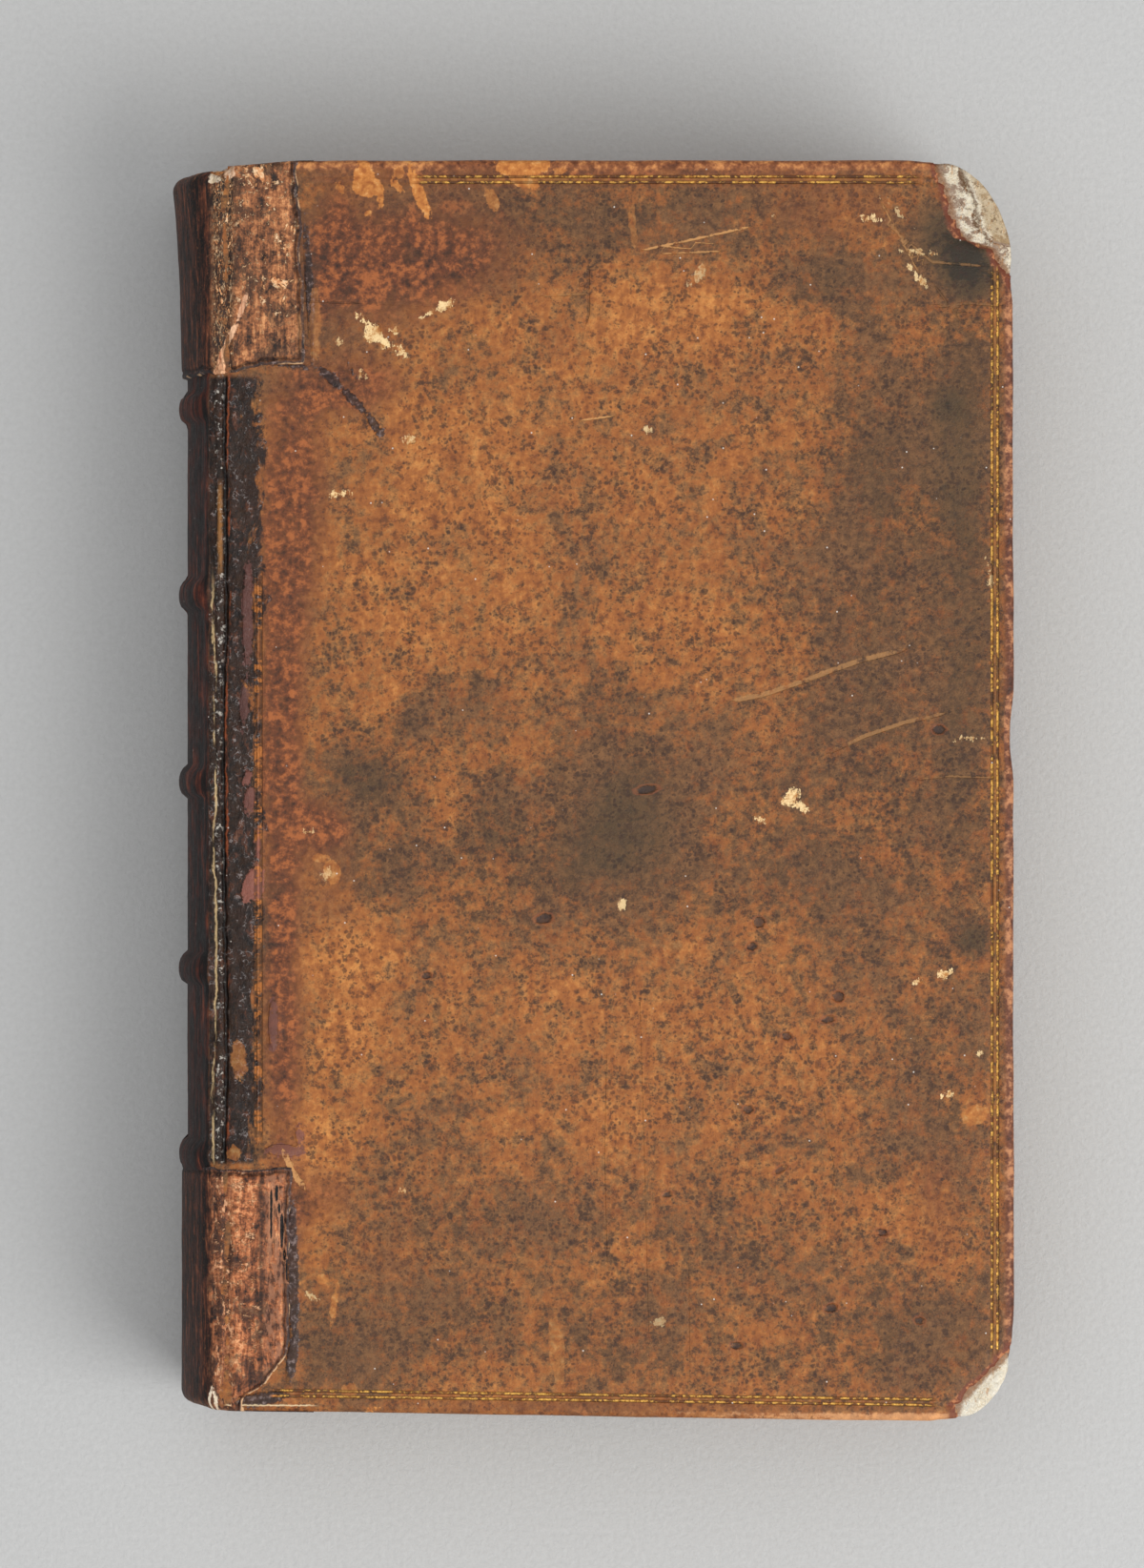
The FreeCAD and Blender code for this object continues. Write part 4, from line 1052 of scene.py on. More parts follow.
# along the cover's edges the leather has kept its red, rubbed orange at the head and the tail
edge = calf.kept("edge")
edge_wear = small * 0.4 + middling * 0.3 + speckle * 0.3
edge_tone = calf.tones(edge_wear, (0.40, colour(80, 42, 28)), (0.49, colour(148, 88, 52)),
                       (0.58, colour(216, 146, 86)))
side_tone = calf.tones(edge_wear, (0.41, colour(48, 28, 26)), (0.5, colour(106, 60, 44)),
                       (0.58, colour(196, 134, 92)))
edge_tone = calf.blend(edge_tone, side_tone, across.rise(119, 122))
leather = calf.blend(leather, edge_tone, (edge + 0.8 * (small - 0.5)).rise(0.15, 0.9) * 0.85)
# the tail edge is painted lighter still, a painted highlight as if lit from below
lit_tail_edge = (edge + 1.4 * (speckle - 0.5)).rise(0.4, 0.7) * along.rise(-96, -98)
leather = calf.blend(leather, colour(230, 170, 118), lit_tail_edge * 0.5)
# the spine is handled black and shiny
on_spine = (across + 0.8 * (middling - 0.5)).rise(-2.5, -3.1)
spine_rub = calf.cloud(calf.stretched(place, 1.0, 0.12, 1.0), 1.1, 5, 0.65)
spine_tone = calf.tones(spine_rub * 0.6 + middling * 0.4,
                        (0.40, colour(10, 7, 7)), (0.49, colour(28, 15, 13)),
                        (0.57, colour(72, 32, 22)), (0.66, colour(126, 64, 40)))
leather = calf.blend(leather, spine_tone, on_spine)
# the joint is a crust of black dressing over cracks that show the pale flesh
ragged = calf.cloud(place, 0.75, 4, 0.65)
wide_ragged = calf.cloud(place, 1.8, 4, 0.7)
below_patch = along.rise(66.4, 65.4) * along.rise(-59.5, -58.5)
crust_noise = calf.cloud(calf.stretched(place, 1.0, 0.40, 1.0), 4.0, 6, 0.72, 0.6)
crust_mask = (across + 15.0 * (crust_noise - 0.5)).rise(5.6, 4.2) * across.rise(-3.2, -2.6)
crust_mask = crust_mask * below_patch
lumps = calf.cloud(calf.shaken(calf.stretched(place, 1.0, 0.55, 1.0), 1.5, 1.0), 1.3, 5, 0.68)
crust_tone = calf.tones(0.6 * lumps + 0.4 * middling,
                        (0.44, colour(11, 11, 12)), (0.54, colour(25, 22, 23)),
                        (0.60, colour(80, 45, 31)), (0.66, colour(118, 84, 66)))
leather = calf.blend(leather, crust_tone, crust_mask * 0.92)
# the dressing has wrinkled, and pale grey painted highlights run along its ridges as glints
wrinkle_glint = near(calf.cloud(shaken, 2.2, 3, 0.6), 0.5, 0.008, 0.014) * lumps.rise(0.48, 0.57)
leather = calf.blend(leather, colour(158, 152, 150), wrinkle_glint * crust_mask * 0.65)
flap = calf.kept("flap") + 0.6 * (ragged - 0.5) + 2.2 * (wide_ragged - 0.5) + 1.6 * (speckle - 0.5)
flap_tone = calf.blend(colour(84, 56, 52), colour(158, 96, 80), calf.kept("flap_salmon"))
flap_mask = flap.rise(-0.05, 0.08)
leather = calf.blend(leather, flap_tone, flap_mask * (0.55 + 0.5 * small))
main_crack = calf.kept("main_crack")
outer_crack = calf.kept("outer_crack")
dark_crack = near(main_crack + 1.4 * (wide_ragged - 0.5), 0.0, 0.22, 0.26)
leather = calf.blend(leather, colour(9, 8, 8), dark_crack * below_patch * 0.95)
grit_line = near(main_crack, -0.9, 0.7, 0.4) * ragged.rise(0.57, 0.64)
leather = calf.blend(leather, colour(196, 188, 176), grit_line * below_patch * 0.8)
cream_crack = near(outer_crack + 0.9 * (wide_ragged - 0.5), 0.0, 0.16, 0.12) * spine_rub.rise(0.45, 0.53)
cream_crack = cream_crack * along.rise(36, 28) * along.rise(-59.5, -58.5)
ochre_crack = near(main_crack + 0.9 * (ragged - 0.5), -0.9, 0.34, 0.3) * spine_rub.rise(0.36, 0.50)
ochre_crack = ochre_crack * along.rise(33, 37) * along.rise(50, 47)
red_crack = near(main_crack + 1.4 * (wide_ragged - 0.5), 0.55, 0.14, 0.2) * spine_rub.rise(0.50, 0.42)
leather = calf.blend(leather, colour(222, 190, 140), cream_crack * 0.9)
leather = calf.blend(leather, colour(154, 104, 52), ochre_crack * 0.85)
leather = calf.blend(leather, colour(168, 84, 44), red_crack * below_patch * 0.75)
smear = calf.kept("smear") + 0.9 * (ragged - 0.5) + 1.3 * (wide_ragged - 0.5)
smear_mask = smear.rise(-0.08, 0.16)
leather = calf.blend(leather, calf.tones(ragged,
                                         (0.40, colour(25, 20, 20)), (0.54, colour(56, 43, 41)),
                                         (0.66, colour(122, 106, 102))), smear_mask * 0.88)
# beside the tail the leather has lost its edge, down to the cream flesh
torn_edge = across.rise(15.0, 12.5) * near(along + 0.7 * (ragged - 0.5), -99.15, 0.10, 0.14)
leather = calf.blend(leather, colour(232, 206, 164), torn_edge * across.rise(-0.5, 0.5) * 0.9)
# pits, scratches, abrasions and scuffs
pit = calf.kept("pit") + 0.7 * (ragged - 0.5)
leather = calf.blend(leather, colour(136, 76, 46), near(pit, -0.1, 0.16, 0.12) * 0.5)
leather = calf.blend(leather, colour(48, 38, 38), pit.rise(0.0, 0.25) * 0.7)
pitted = (across.rise(45, 80) * along.rise(-15, -50)).most(across.rise(100, 114))
pitting = (1 - wide_ragged).rise(0.62, 0.68) * pitted
leather = calf.blend(leather, colour(44, 34, 31), pitting * 0.6)
scratch = abs(calf.kept("scratch") + 0.5 * (ragged - 0.5))
scratch_half = calf.kept("scratch_half") * (0.4 + 1.2 * wide_ragged)
scratch_mask = (scratch_half - scratch).rise(-0.02, 0.08)
scratch_mask = scratch_mask * (0.5 * middling + 0.5 * wide_ragged).rise(0.42, 0.50)
scratch_flesh_and_highlight = calf.kept("scratch_flesh_and_highlight")
# creases and scratches are painted darker, a painted shade along them; where pale, it is flesh in a scratch
# and a painted highlight along a crease
leather = calf.blend(leather, colour(44, 30, 22), scratch_mask * (1 - scratch_flesh_and_highlight) * 0.5)
leather = calf.blend(leather, colour(206, 150, 92), scratch_mask * scratch_flesh_and_highlight * 0.85)
streaky = calf.cloud(calf.stretched(place, 1.0, 0.35, 1.0), 0.8, 4, 0.7)
sore = calf.kept("sore") + 1.3 * (streaky - 0.5) + 1.6 * (wide_ragged - 0.5) + 0.8 * (ragged - 0.5)
sore_mask = sore.rise(-0.12, 0.10) * calf.kept("sore_pale")
sore_tone = calf.tones(small, (0.35, colour(166, 96, 46)), (0.55, colour(206, 134, 68)),
                       (0.75, colour(234, 180, 116)))
leather = calf.blend(leather, sore_tone, sore_mask * 0.9)
scuff = calf.kept("scuff") + 3.4 * (streaky - 0.5) + 2.4 * (speckle - 0.5)
scuff_mask = scuff.rise(-0.02, 0.14) * calf.kept("scuff_pale")
scuff_tone = calf.tones(speckle, (0.42, colour(182, 124, 66)), (0.55, colour(238, 206, 152)))
leather = calf.blend(leather, scuff_tone, scuff_mask)
# the torn lip of leather round a bare corner shows its pale flesh
bare = calf.kept("bare") + 0.6 * (ragged - 0.5)
lip_tone = calf.blend(colour(112, 58, 40), colour(190, 122, 80), small.rise(0.5, 0.62))
leather = calf.blend(leather, lip_tone, near(bare, -0.45, 0.5, 0.3) * 0.85 * (1 - turned))
# the gold is worn to short lengths
gold = 0
face_right = along.rise(84, 82) * along.rise(-90.5, -88.5)
face_top = across.rise(28.0, 33.0) * across.rise(110.5, 109.0)
face_foot = across.rise(6.5, 8.0) * across.rise(113, 111.5)
joint_side = along.rise(36, 33) * along.rise(-57, -54)
for inset in FILLET_INSETS:
    gold = gold + near(across, COVER_WIDTH - inset, FILLET_HALF) * face_right
    gold = gold + near(along, COVER_HEAD - inset, FILLET_HALF) * face_top
    gold = gold + near(along, COVER_TAIL + inset, FILLET_HALF) * face_foot
between_lines = near(across, COVER_WIDTH - 3.05, 0.3, 0.2) * face_right
between_lines = between_lines + near(along, COVER_HEAD - 3.05, 0.3, 0.2) * face_top
leather = calf.blend(leather, colour(158, 104, 50), between_lines * wide_ragged.rise(0.40, 0.56) * 0.6)
joint_gold = 0
for inset in FILLET_JOINT_INSETS:
    joint_gold = joint_gold + near(across, inset, FILLET_HALF) * joint_side
tooled = (gold + joint_gold).least(1.0)
gold_mask = gold * (middling + 0.7 * (ragged - 0.5)).rise(0.43, 0.56)
# at the joint the gold has broken into short rungs
rungs = calf.cloud(calf.stretched(place, 0.3, 1.0, 1.0), 1.0, 3, 0.6).rise(0.44, 0.52)
joint_gold = near(across, 5.05, 0.62, 0.1) * joint_side * rungs
joint_gold = joint_gold * (middling + 0.6 * (ragged - 0.5)).rise(0.45, 0.58)
gold_mask = (gold_mask + 0.8 * joint_gold).least(1.0)
gold_mask = gold_mask * (1 - scuff_mask) * (1 - sore_mask)
leather = calf.blend(leather, colour(44, 30, 20), tooled * 0.55)
gold_tone = calf.blend(colour(150, 98, 42), colour(214, 164, 80), ragged.rise(0.4, 0.6))
gold_tone = calf.blend(gold_tone, colour(188, 116, 58), across.rise(9, 7))
leather = calf.blend(leather, gold_tone, gold_mask * 0.92)
# dust and grit, with painted glints: pale specks that stand for light caught by the grain
far, size = calf.dots(place, 2.6)
grit_and_glints = far.rise(0.065, 0.03) * size.rise(0.60, 0.62)
leather = calf.blend(leather, colour(222, 214, 204), grit_and_glints * 0.8)
turned_tone = calf.tones(middling, (0.3, colour(74, 44, 28)), (0.7, colour(130, 84, 50)))
leather = calf.blend(leather, turned_tone, turned)
dullness = 0.46 + 0.30 * (middling - 0.5) + 0.45 * (small - 0.5)
dullness = dullness + 0.3 * (scuff_mask + sore_mask).least(1.0) + 0.14 * on_spine
dullness = dullness - 0.14 * crust_mask - 0.12 * gold_mask
crust_zone = across.rise(5.6, 4.6) * across.rise(-3.2, -2.6) * below_patch
relief = 0.6 * small + 0.7 * grain + 4.0 * crust_zone * (lumps - 0.5)
relief = relief - 1.4 * calf.kept("pit").rise(-0.1, 0.3) - 0.6 * calf.kept("scuff").rise(-0.1, 0.2)
relief = relief - 2.0 * near(main_crack, 0.0, 0.28, 0.2) * below_patch - 1.0 * tooled
relief = relief + 1.0 * calf.kept("smear").rise(-0.1, 0.3) + 0.8 * calf.kept("flap").rise(-0.1, 0.1)
relief = relief - 0.6 * (calf.kept("scratch_half") - abs(calf.kept("scratch"))).rise(-0.05, 0.1)
relief = relief + 1.6 * across.rise(-2.5, -3.1) * (spine_rub - 0.5)
old_calf = calf.done(leather, dullness.most(0.28), calf.raised(relief, 0.15), gold_mask * 0.6, 0.24)
front_calf = calf_half(
    "front_calf_skin", True,
    ruled(CALF_CROWN, COVER_WIDTH - CALF_EDGE_ROUND, 0.70, ((-25.0, 7.0, 0.48), (121.0, 122.8, 0.2))),
    ruled(COVER_TAIL + CALF_EDGE_ROUND, COVER_HEAD - CALF_EDGE_ROUND, 0.68,
          ((96.3, 98.0, 0.2), (-98.0, -96.3, 0.2))))
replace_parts(front_calf, "front_leather", "front_gilt_fillet", "spine_leather")
rear_calf = calf_half(
    "rear_calf_skin", False,
    ruled(CALF_CROWN, COVER_WIDTH - CALF_EDGE_ROUND, 0.95, ((-25.0, 7.0, 0.6), (121.0, 122.8, 0.2))),
    ruled(COVER_TAIL + CALF_EDGE_ROUND, COVER_HEAD - CALF_EDGE_ROUND, 0.9,
          ((96.3, 98.0, 0.2), (-98.0, -96.3, 0.2))))
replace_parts(rear_calf, "rear_leather", "rear_gilt_fillet")


# The repairs. When the ends of the spine broke, a binder lifted the old calf there, and pasted
# new calf over the head and the tail and some way onto both covers, turned in over the endbands
# as caps. That leather is now cracked over the joints and flaking down to its flesh.
PATCH_OUT = 7.6
PATCH_HALF = 17.0
PATCH_SHOULDER = 4.4
PATCH_FOLD = (5, 4, 3, 4)
PATCH_UNDER_ROUND = 0.5
PATCH_THICKNESS = 4.2                # of the board with the repair on both faces
HEAD_CAP = 98.65
TAIL_CAP = -98.25
CAP_ROUND = 1.9
CAP_TURN_IN = 1.3
FLARE = ((0.0, 0.0), (0.45, 0.3), (0.75, 0.9), (1.0, 1.6))
HEAD_PATCH_EDGE = ((66.0, 12.6), (74.0, 12.3), (85.0, 11.9), (101.0, 11.4))
TAIL_PATCH_EDGE = ((-101.0, 2.6), (-96.4, 3.0), (-95.4, 4.4), (-93.8, 6.7), (-91.0, 8.4), (-89.6, 9.6),
                   (-87.0, 10.1), (-59.0, 10.4))
PATCH_CROWN = crown(PATCH_OUT, PATCH_HALF, PATCH_SHOULDER)


def repair_finish(name, at_head):
    """The newer calf. At the head it is nearly black and crazed over the joint, and at the tail
    red and rubbed."""
    newer = Finish(name)
    place = newer.rest()
    across = newer.kept("across")
    along = newer.kept("along")
    inside = newer.kept("inside")
    streak = newer.cloud(newer.stretched(place, 1.0, 0.13, 1.0), 0.9, 5, 0.7, 0.4)
    strands = newer.cloud(newer.stretched(place, 1.0, 0.30, 1.0), 0.55, 3, 0.6, 0.2)
    mottle = newer.cloud(place, 2.8, 6, 0.70, 0.6)
    blotch = newer.cloud(place, 5.0, 5, 0.65, 0.5)
    small = newer.cloud(place, 0.7, 4, 0.65)
    shreds = newer.cloud(place, 1.8, 6, 0.76, 0.8)
    ground = 0.35 * streak + 0.35 * mottle + 0.3 * small
    # one patch fades into the next: the joint is crazed, and the face rubbed and flaking
    over_joint = near(across + 0.8 * (mottle - 0.5), -0.6, 1.6, 0.5)
    if at_head:
        skin = newer.tones(ground, (0.40, colour(36, 25, 20)), (0.46, colour(100, 62, 40)),
                           (0.52, colour(166, 104, 64)), (0.59, colour(226, 160, 106)))
        blotches = (blotch + 0.6 * (small - 0.5)).rise(0.50, 0.58)
        skin = newer.blend(skin, colour(38, 30, 26), blotches * 0.8)
        flesh = newer.tones(small, (0.38, colour(200, 126, 78)), (0.49, colour(232, 170, 118)),
                            (0.61, colour(250, 214, 170)))
        crazed = near(strands, 0.5, 0.022, 0.035).most(strands.rise(0.59, 0.63)) * over_joint
        middle_flakes = near(across + 2.0 * (mottle - 0.5), 8.0, 0.8, 3.0) * near(along, 87.0, 3.0, 9.0)
        middle_flakes = middle_flakes.most(near(along, 98.0, 0.5, 3.0) * near(across, 6.0, 3.0, 4.0))
        flaking = (shreds + 0.5 * (small - 0.5)).rise(0.60, 0.63) * 0.8
        peeled = newer.cloud(newer.stretched(place, 1.0, 0.6, 1.0), 2.6, 6, 0.76, 0.4)
        flaking = flaking.most((peeled + 0.17 * middle_flakes).rise(0.60, 0.63))
        flaking = flaking * across.rise(0.8, 2.2) * along.rise(70.0, 78.0)
        rubbed = (0.6 * strands + 0.4 * small).rise(0.50, 0.62) * across.rise(4.0, 7.5) * 0.6
        rubbed = rubbed * along.rise(84.0, 74.0)
        rubbed_tone = colour(186, 126, 80)
    else:
        skin = newer.tones(ground, (0.40, colour(34, 21, 16)), (0.46, colour(112, 64, 39)),
                           (0.52, colour(188, 112, 68)), (0.59, colour(238, 172, 120)))
        blotches = (blotch + 0.5 * (small - 0.5)).rise(0.50, 0.60)
        skin = newer.blend(skin, colour(40, 27, 23), blotches * 0.8)
        flesh = newer.tones(small, (0.38, colour(190, 114, 70)), (0.61, colour(244, 190, 146)))
        crazed = strands.rise(0.57, 0.61) * over_joint * 0.7
        flaking = newer.cloud(newer.stretched(place, 0.6, 1.0, 1.0), 0.8, 5, 0.75)
        flaking = (flaking + 0.5 * (mottle - 0.5)).rise(0.55, 0.62) * across.rise(-2.6, -1.2)
        flaking = flaking * across.rise(6.4, 4.4) * along.rise(96, 80)
        rubbed = strands.rise(0.46, 0.58) * across.rise(5.6, 6.8) * 0.8
        rubbed_tone = colour(154, 104, 76)
        woody = near(streak, 0.5, 0.010, 0.022) * across.rise(5.6, 6.6)
        skin = newer.blend(skin, colour(40, 28, 22), woody * 0.7)
        dark_band = near(across + 1.2 * (mottle - 0.5), 5.5, 0.35, 0.4)
        skin = newer.blend(skin, colour(44, 30, 24), dark_band * 0.75)
    leather = newer.blend(skin, rubbed_tone, rubbed)
    leather = newer.blend(leather, colour(30, 24, 22), over_joint * (0.75 if at_head else 0.35))
    spine_tone = newer.tones(streak * 0.65 + mottle * 0.35,
                             (0.40, colour(12, 9, 8)), (0.48, colour(34, 20, 16)),
                             (0.56, colour(82, 43, 28)), (0.64, colour(146, 84, 53)))
    wander = 0.8 if at_head else 2.6
    on_spine = (across + wander * (blotch - 0.5) + wander * (mottle - 0.5)).rise(-1.9, -3.2)
    leather = newer.blend(leather, spine_tone, on_spine)
    leather = newer.blend(leather, flesh, crazed.most(flaking) * 0.92)
    # the colour goes near black along a groove inside the edge, and beside it lies a dark strip with
    # painted grey glints, painted highlights
    edge_noise = inside + 0.8 * (newer.cloud(place, 2.0, 4) - 0.5)
    leather = newer.blend(leather, colour(24, 20, 21), near(edge_noise, 0.9, 0.2, 0.3) * 0.8)
    dark_strip_and_glints = newer.blend(colour(40, 36, 38), colour(120, 112, 112), small.rise(0.56, 0.66))
    leather = newer.blend(leather, dark_strip_and_glints, edge_noise.rise(0.75, 0.35) * 0.85)
    lip = near(edge_noise, 0.05, 0.12, 0.1) * newer.cloud(place, 3.5, 3).rise(0.5, 0.6)
    if not at_head:
        lip = lip.most(near(edge_noise, 0.1, 0.25, 0.15) * along.rise(89.0, 90.0) * across.rise(1.5, 2.5))
    leather = newer.blend(leather, colour(216, 172, 128), lip * 0.85)
    split = newer.kept("split") + 0.5 * (small - 0.5)
    leather = newer.blend(leather, colour(196, 134, 96), near(split, 0.22, 0.10, 0.1) * 0.6)
    leather = newer.blend(leather, colour(14, 10, 9), split.rise(0.34, 0.55))
    torn = newer.kept("torn") + 0.7 * (small - 0.5)
    orange = newer.tones(streak, (0.40, colour(176, 90, 48)), (0.58, colour(244, 184, 136)))
    cream = newer.tones(streak, (0.38, colour(220, 190, 150)), (0.62, colour(250, 236, 214)))
    leather = newer.blend(leather, newer.blend(orange, cream, newer.kept("torn_pale")),
                          torn.rise(-0.05, 0.12))
    cap_wear = newer.kept("cap") * (shreds + 0.3 * (small - 0.5)).rise(0.50, 0.56)
    leather = newer.blend(leather, colour(150, 98, 64), cap_wear * 0.8)
    dullness = 0.46 + 0.4 * (small - 0.5) + 0.3 * crazed.most(flaking) + 0.14 * on_spine
    relief = 1.2 * streak + 0.7 * small + 1.3 * crazed.most(flaking) - 1.2 * over_joint * strands
    relief = relief - 1.5 * near(edge_noise, 0.9, 0.2, 0.3)
    return newer.done(leather, dullness.most(0.28), newer.raised(relief, 0.2), specular=0.24)


def repair_half(name, at_head, front):
    """The repair from the middle of the spine over one cover."""
    reach = 13.8
    fine = ((-4.0, 3.0, 0.30),)
    columns = ruled(PATCH_CROWN, reach, 0.42, fine)
    if at_head:
        rows = ruled(HEAD_PATCH_FOOT - 0.8, COVER_HEAD - CALF_EDGE_ROUND, 0.42)
        side = 1
    else:
        rows = ruled(COVER_TAIL + CALF_EDGE_ROUND, TAIL_PATCH_TOP + 0.8, 0.42)
        side = -1
    seed = 90 + 10 * at_head + 40 * front
    mesh, across, along, rim = sheet(columns, rows, sum(PATCH_FOLD),
                                     lambda across, along: side * along > COVER_HEAD - 1)
    x, y, out_x, out_y = cover_plan(np.maximum(across, 0.0), along, CALF_EDGE_ROUND)
    x = np.where(across > 0, x, across)
    out_y = np.where(rim > 0, side, 0)
    base_x, base_z, facing_x, facing_z = section(x, PATCH_OUT, PATCH_HALF, PATCH_SHOULDER, PATCH_HALF)
    on_spine = ease(1.5, -1.8, across)
    on_back = ease(-2.0, -6.5, across)
    end = (HEAD_CAP if at_head else TAIL_CAP) - side * 0.35 * on_back
    cover_end = COVER_HEAD if at_head else COVER_TAIL + TAIL_RISE
    cover_end = cover_end - (head_droop(x) if at_head else 0)
    # how far the rows are drawn in so that the end of the sheet lies on the cap
    near_end = ease(0.55, 1.0, np.abs(along) / COVER_HEAD)
    edge_round = CALF_EDGE_ROUND + (CAP_ROUND - CALF_EDGE_ROUND) * on_spine
    pull = side * (np.abs(cover_end) - np.abs(end)) * on_spine + side * (edge_round - CALF_EDGE_ROUND)
    y = y - pull * near_end
    y = y + side * 0.20 * uneven(across, 0 * y, 5, seed) * near_end * on_spine
    shares = np.clip((y - HEAD_PATCH_FOOT) / (HEAD_CAP - HEAD_PATCH_FOOT), 0, 1)
    flare = at_head * on_back * np.interp(shares, [p[0] for p in FLARE], [p[1] for p in FLARE])
    thickness = PATCH_THICKNESS + flare
    turn_in = CAP_TURN_IN + (CALF_TURN_IN - CAP_TURN_IN) * ease(-0.4, 1.2, across)
    away, drop = fold(rim, PATCH_FOLD, edge_round, thickness, turn_in, PATCH_UNDER_ROUND)
    if at_head:
        limit = np.interp(y, [p[0] for p in HEAD_PATCH_EDGE], [p[1] for p in HEAD_PATCH_EDGE])
        foot = y - (HEAD_PATCH_FOOT - 0.5 + 1.5 * ease(-1.0, 8.0, x))
    else:
        limit = np.interp(y, [p[0] for p in TAIL_PATCH_EDGE], [p[1] for p in TAIL_PATCH_EDGE])
        foot = TAIL_PATCH_TOP - y
    foot = foot + 0.35 * uneven(across, 0 * y, 4.5, seed + 1)
    foot = foot + 0.12 * uneven(across, 0 * y, 1.1, seed + 2)
    ragged_side = 0.35 * uneven(0 * x, y, 5, seed + 3) + 0.15 * uneven(x, y, 1.2, seed + 4)
    inside = np.minimum(limit - x + ragged_side, foot)
    inside = np.where(rim > 0, np.minimum(inside, limit - x), inside)
    height = 0.10 * rough(x, y, 9, seed + 5) + 0.06 * rough(x, y * 0.3, 1.6, seed + 6)
    over_joint = ease(2.6, 0.4, np.abs(x + 0.4))
    height = height + over_joint * (0.16 * uneven(x, y * 0.15, 0.9, seed + 7) - 0.10)
    height = height - 0.28 * ease(0.8, 0.1, np.abs(x + 0.3 * uneven(0 * y, y, 7, seed + 8)))
    height = height - 0.20 * ease(0.6, 0.0, np.abs(inside - 0.9))
    split = np.zeros(x.shape)
    torn = np.full(x.shape, -2.0)
    torn_pale = np.zeros(x.shape)
    if front and at_head:
        # a strip torn from the joint shows orange flesh, widest at its foot
        strips = ((-0.6, 68.2, 2.6, 1.0, 78, 0.1), (-1.0, 66.4, 1.3, 1.3, 0, 0.1),
                  (0.7, 72.4, 2.4, 0.55, 62, 0.2), (2.6, 77.0, 2.6, 0.45, 72, 0.3),
                  (-1.9, 97.6, 1.5, 1.1, 20, 1.0), (0.2, 98.0, 1.3, 0.8, 0, 0.5))
        torn, torn_pale = inside_of(strips, across, y)
    if front and not at_head:
        strips = ((-2.9, -96.2, 2.2, 0.28, 74, 1.0), (-1.7, -96.8, 2.2, 0.32, 104, 1.0),
                  (-1.2, -98.2, 2.4, 0.35, -8, 1.0), (1.6, -98.7, 1.8, 0.25, 0, 0.9))
        torn, torn_pale = inside_of(strips, across, y)
    height = height + ease(-0.2, 0.3, torn) * (0.35 * torn_pale - 0.20)
    if front and not at_head:
        line = 8.1 + 0.7 * uneven(0 * y, y, 4, 96) + 1.3 * ease(-64, -78, y)
        wide = 0.40 * (1 + uneven(0 * y, y, 2.4, 99)) / 2
        split = ease(0.35, -0.1, np.abs(x - line) - wide) * ease(-78.4, -77.4, y) * ease(-62.0, -63.2, y)
        second = ease(0.3, -0.05, np.abs(x - 6.9 - 0.3 * uneven(0 * y, y, 5, 97)) - 0.12)
        split = np.maximum(split, 0.7 * second * ease(-72, -70, y) * ease(-62, -64, y))
        height = height - 0.24 * split
    if not front:
        height = height - ease(-2.0, 0.5, x) * 0.2
        height = np.where(x > 0.3, np.minimum(height, 0), height)
    level = height - 1.4 * ease(0.25, -0.35, inside)
    if not front:
        level = np.where((inside > 0.2) & (x > 0.3), np.minimum(level, -0.04), level)
    cover_thickness = PATCH_HALF * 2 - (COVER_TOP - COVER_THICKNESS)
    drop = np.minimum(drop, np.where(across > 1.2, cover_thickness, 99))
    share = np.where(rim < 1, 1.0, np.where(rim < 4, 0.4, 0.3 * (x < 0)))
    bulge = flare + share * level
    px = base_x + facing_x * (bulge - drop)
    py = y + out_y * away
    pz = base_z + facing_z * (bulge - drop)
    if not front:
        pz = 2 * PATCH_HALF - pz
        pz = np.where((across > 1.2) & (rim > 12), COVER_THICKNESS - 0.04, pz)
    put_points(mesh, px, py, pz)
    face_out(mesh, front)
    keep(mesh, "rest", np.stack([across, py, base_z - drop + (0 if front else 400)], axis=1))
    keep(mesh, "across", across)
    keep(mesh, "along", np.where(at_head, y, -y))
    keep(mesh, "inside", inside)
    keep(mesh, "split", split)
    keep(mesh, "torn", torn)
    keep(mesh, "torn_pale", torn_pale)
    keep(mesh, "cap", ease(1.5, -1.0, x) * ease(1.6, 0.2, np.abs(end - py)))
    made = piece(name, mesh, repair_leather_head if at_head else repair_leather_tail)
    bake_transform(made)
    return made


repair_leather_head = repair_finish("repair_calf_head", True)
repair_leather_tail = repair_finish("repair_calf_tail", False)
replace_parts(repair_half("head_repair_front", True, True), "head_patch_spine", "head_patch_front")
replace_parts(repair_half("head_repair_rear", True, False), "head_patch_rear")
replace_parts(repair_half("tail_repair_front", False, True), "tail_patch_spine", "tail_patch_front")
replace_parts(repair_half("tail_repair_rear", False, False), "tail_patch_rear")


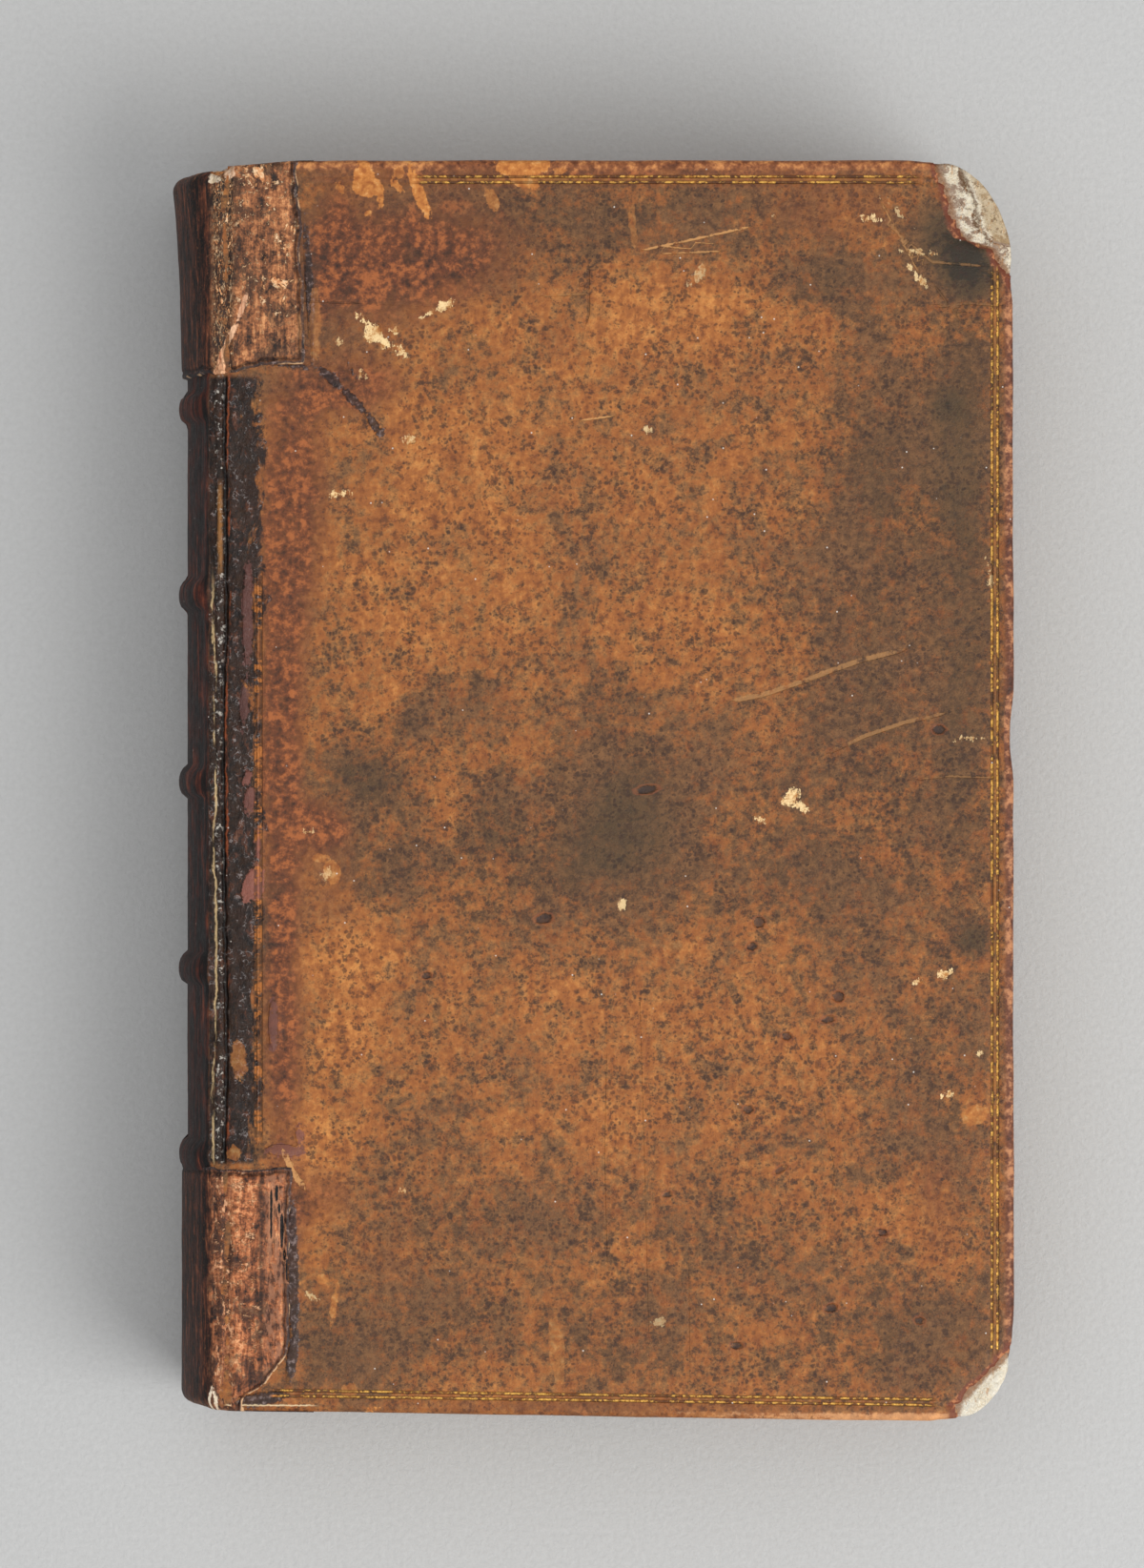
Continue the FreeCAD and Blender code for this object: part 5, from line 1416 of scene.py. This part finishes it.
# The pastedowns. A plain leaf of the endpapers pasted over the inside of each board, after the
# turn-ins, which have stained it brown round its edges.
endpaper = Finish("pasted_endpaper")
place = endpaper.own_place()
stain = endpaper.cloud(place, 30, 5, 0.6)
speck = endpaper.cloud(place, 1.1, 5, 0.7)
pasted_paper = endpaper.done(
    endpaper.tones(0.7 * stain + 0.3 * speck, (0.28, colour(170, 138, 92)),
                   (0.5, colour(206, 182, 140)), (0.7, colour(226, 208, 172))),
    0.85, endpaper.raised(endpaper.cloud(place, 0.4, 4), 0.06), specular=0.25)
finish_node("front_pastedown", pasted_paper)
finish_node("rear_pastedown", pasted_paper)


# The floor, the light and the camera: a pale grey table seen from straight above in the soft
# light of a large window, as books are photographed.
CAMERA_X = -3.0
CAMERA_Y = 1.1
VIEW_HEIGHT = 248.9                  # what the picture's long side takes in at the cover
LENS = 200.0
SENSOR = 36.0
bpy.ops.mesh.primitive_plane_add(size=3.0, location=(0, 0, -0.0005))
floor = bpy.context.object
floor.name = "table"
table_top = Finish("grey_table")
felt = table_top.cloud(table_top.own_place(), 0.9, 5, 0.65)
floor_tone = table_top.tones(felt, (0.3, colour(184, 184, 183)), (0.7, colour(192, 192, 191)))
floor.data.materials.append(table_top.done(floor_tone, 0.9, table_top.raised(felt, 0.15), specular=0.1))


def lamp(name, x, y, z, size, power, tint):
    """A large soft lamp that looks at the book."""
    data = bpy.data.lights.new(name, "AREA")
    data.shape = "SQUARE"
    data.size = size
    data.energy = power
    data.color = tint
    made = bpy.data.objects.new(name, data)
    made.location = (x, y, z)
    made.rotation_euler = Vector((x, y, z)).to_track_quat("Z", "Y").to_euler()
    bpy.context.scene.collection.objects.link(made)


lamp("window", 1.0, -0.60, 1.1, 1.1, 20.0, (1.0, 0.995, 0.985))
lamp("sky", -0.2, 0.2, 1.6, 1.8, 9.0, (1.0, 1.0, 1.0))
world = bpy.data.worlds.new("room")
world.use_nodes = True
world.node_tree.nodes["Background"].inputs["Color"].default_value = (0.97, 0.98, 1.0, 1)
world.node_tree.nodes["Background"].inputs["Strength"].default_value = 0.50
bpy.context.scene.world = world
bpy.context.scene.view_settings.view_transform = "Standard"

camera_data = bpy.data.cameras.new("above")
camera_data.lens = LENS
camera_data.sensor_width = SENSOR
camera = bpy.data.objects.new("above", camera_data)
bpy.context.scene.collection.objects.link(camera)
camera.location = (CAMERA_X * MM, CAMERA_Y * MM, (COVER_TOP + VIEW_HEIGHT * LENS / SENSOR) * MM)
camera.rotation_euler = (0, 0, 0)
bpy.context.scene.camera = camera
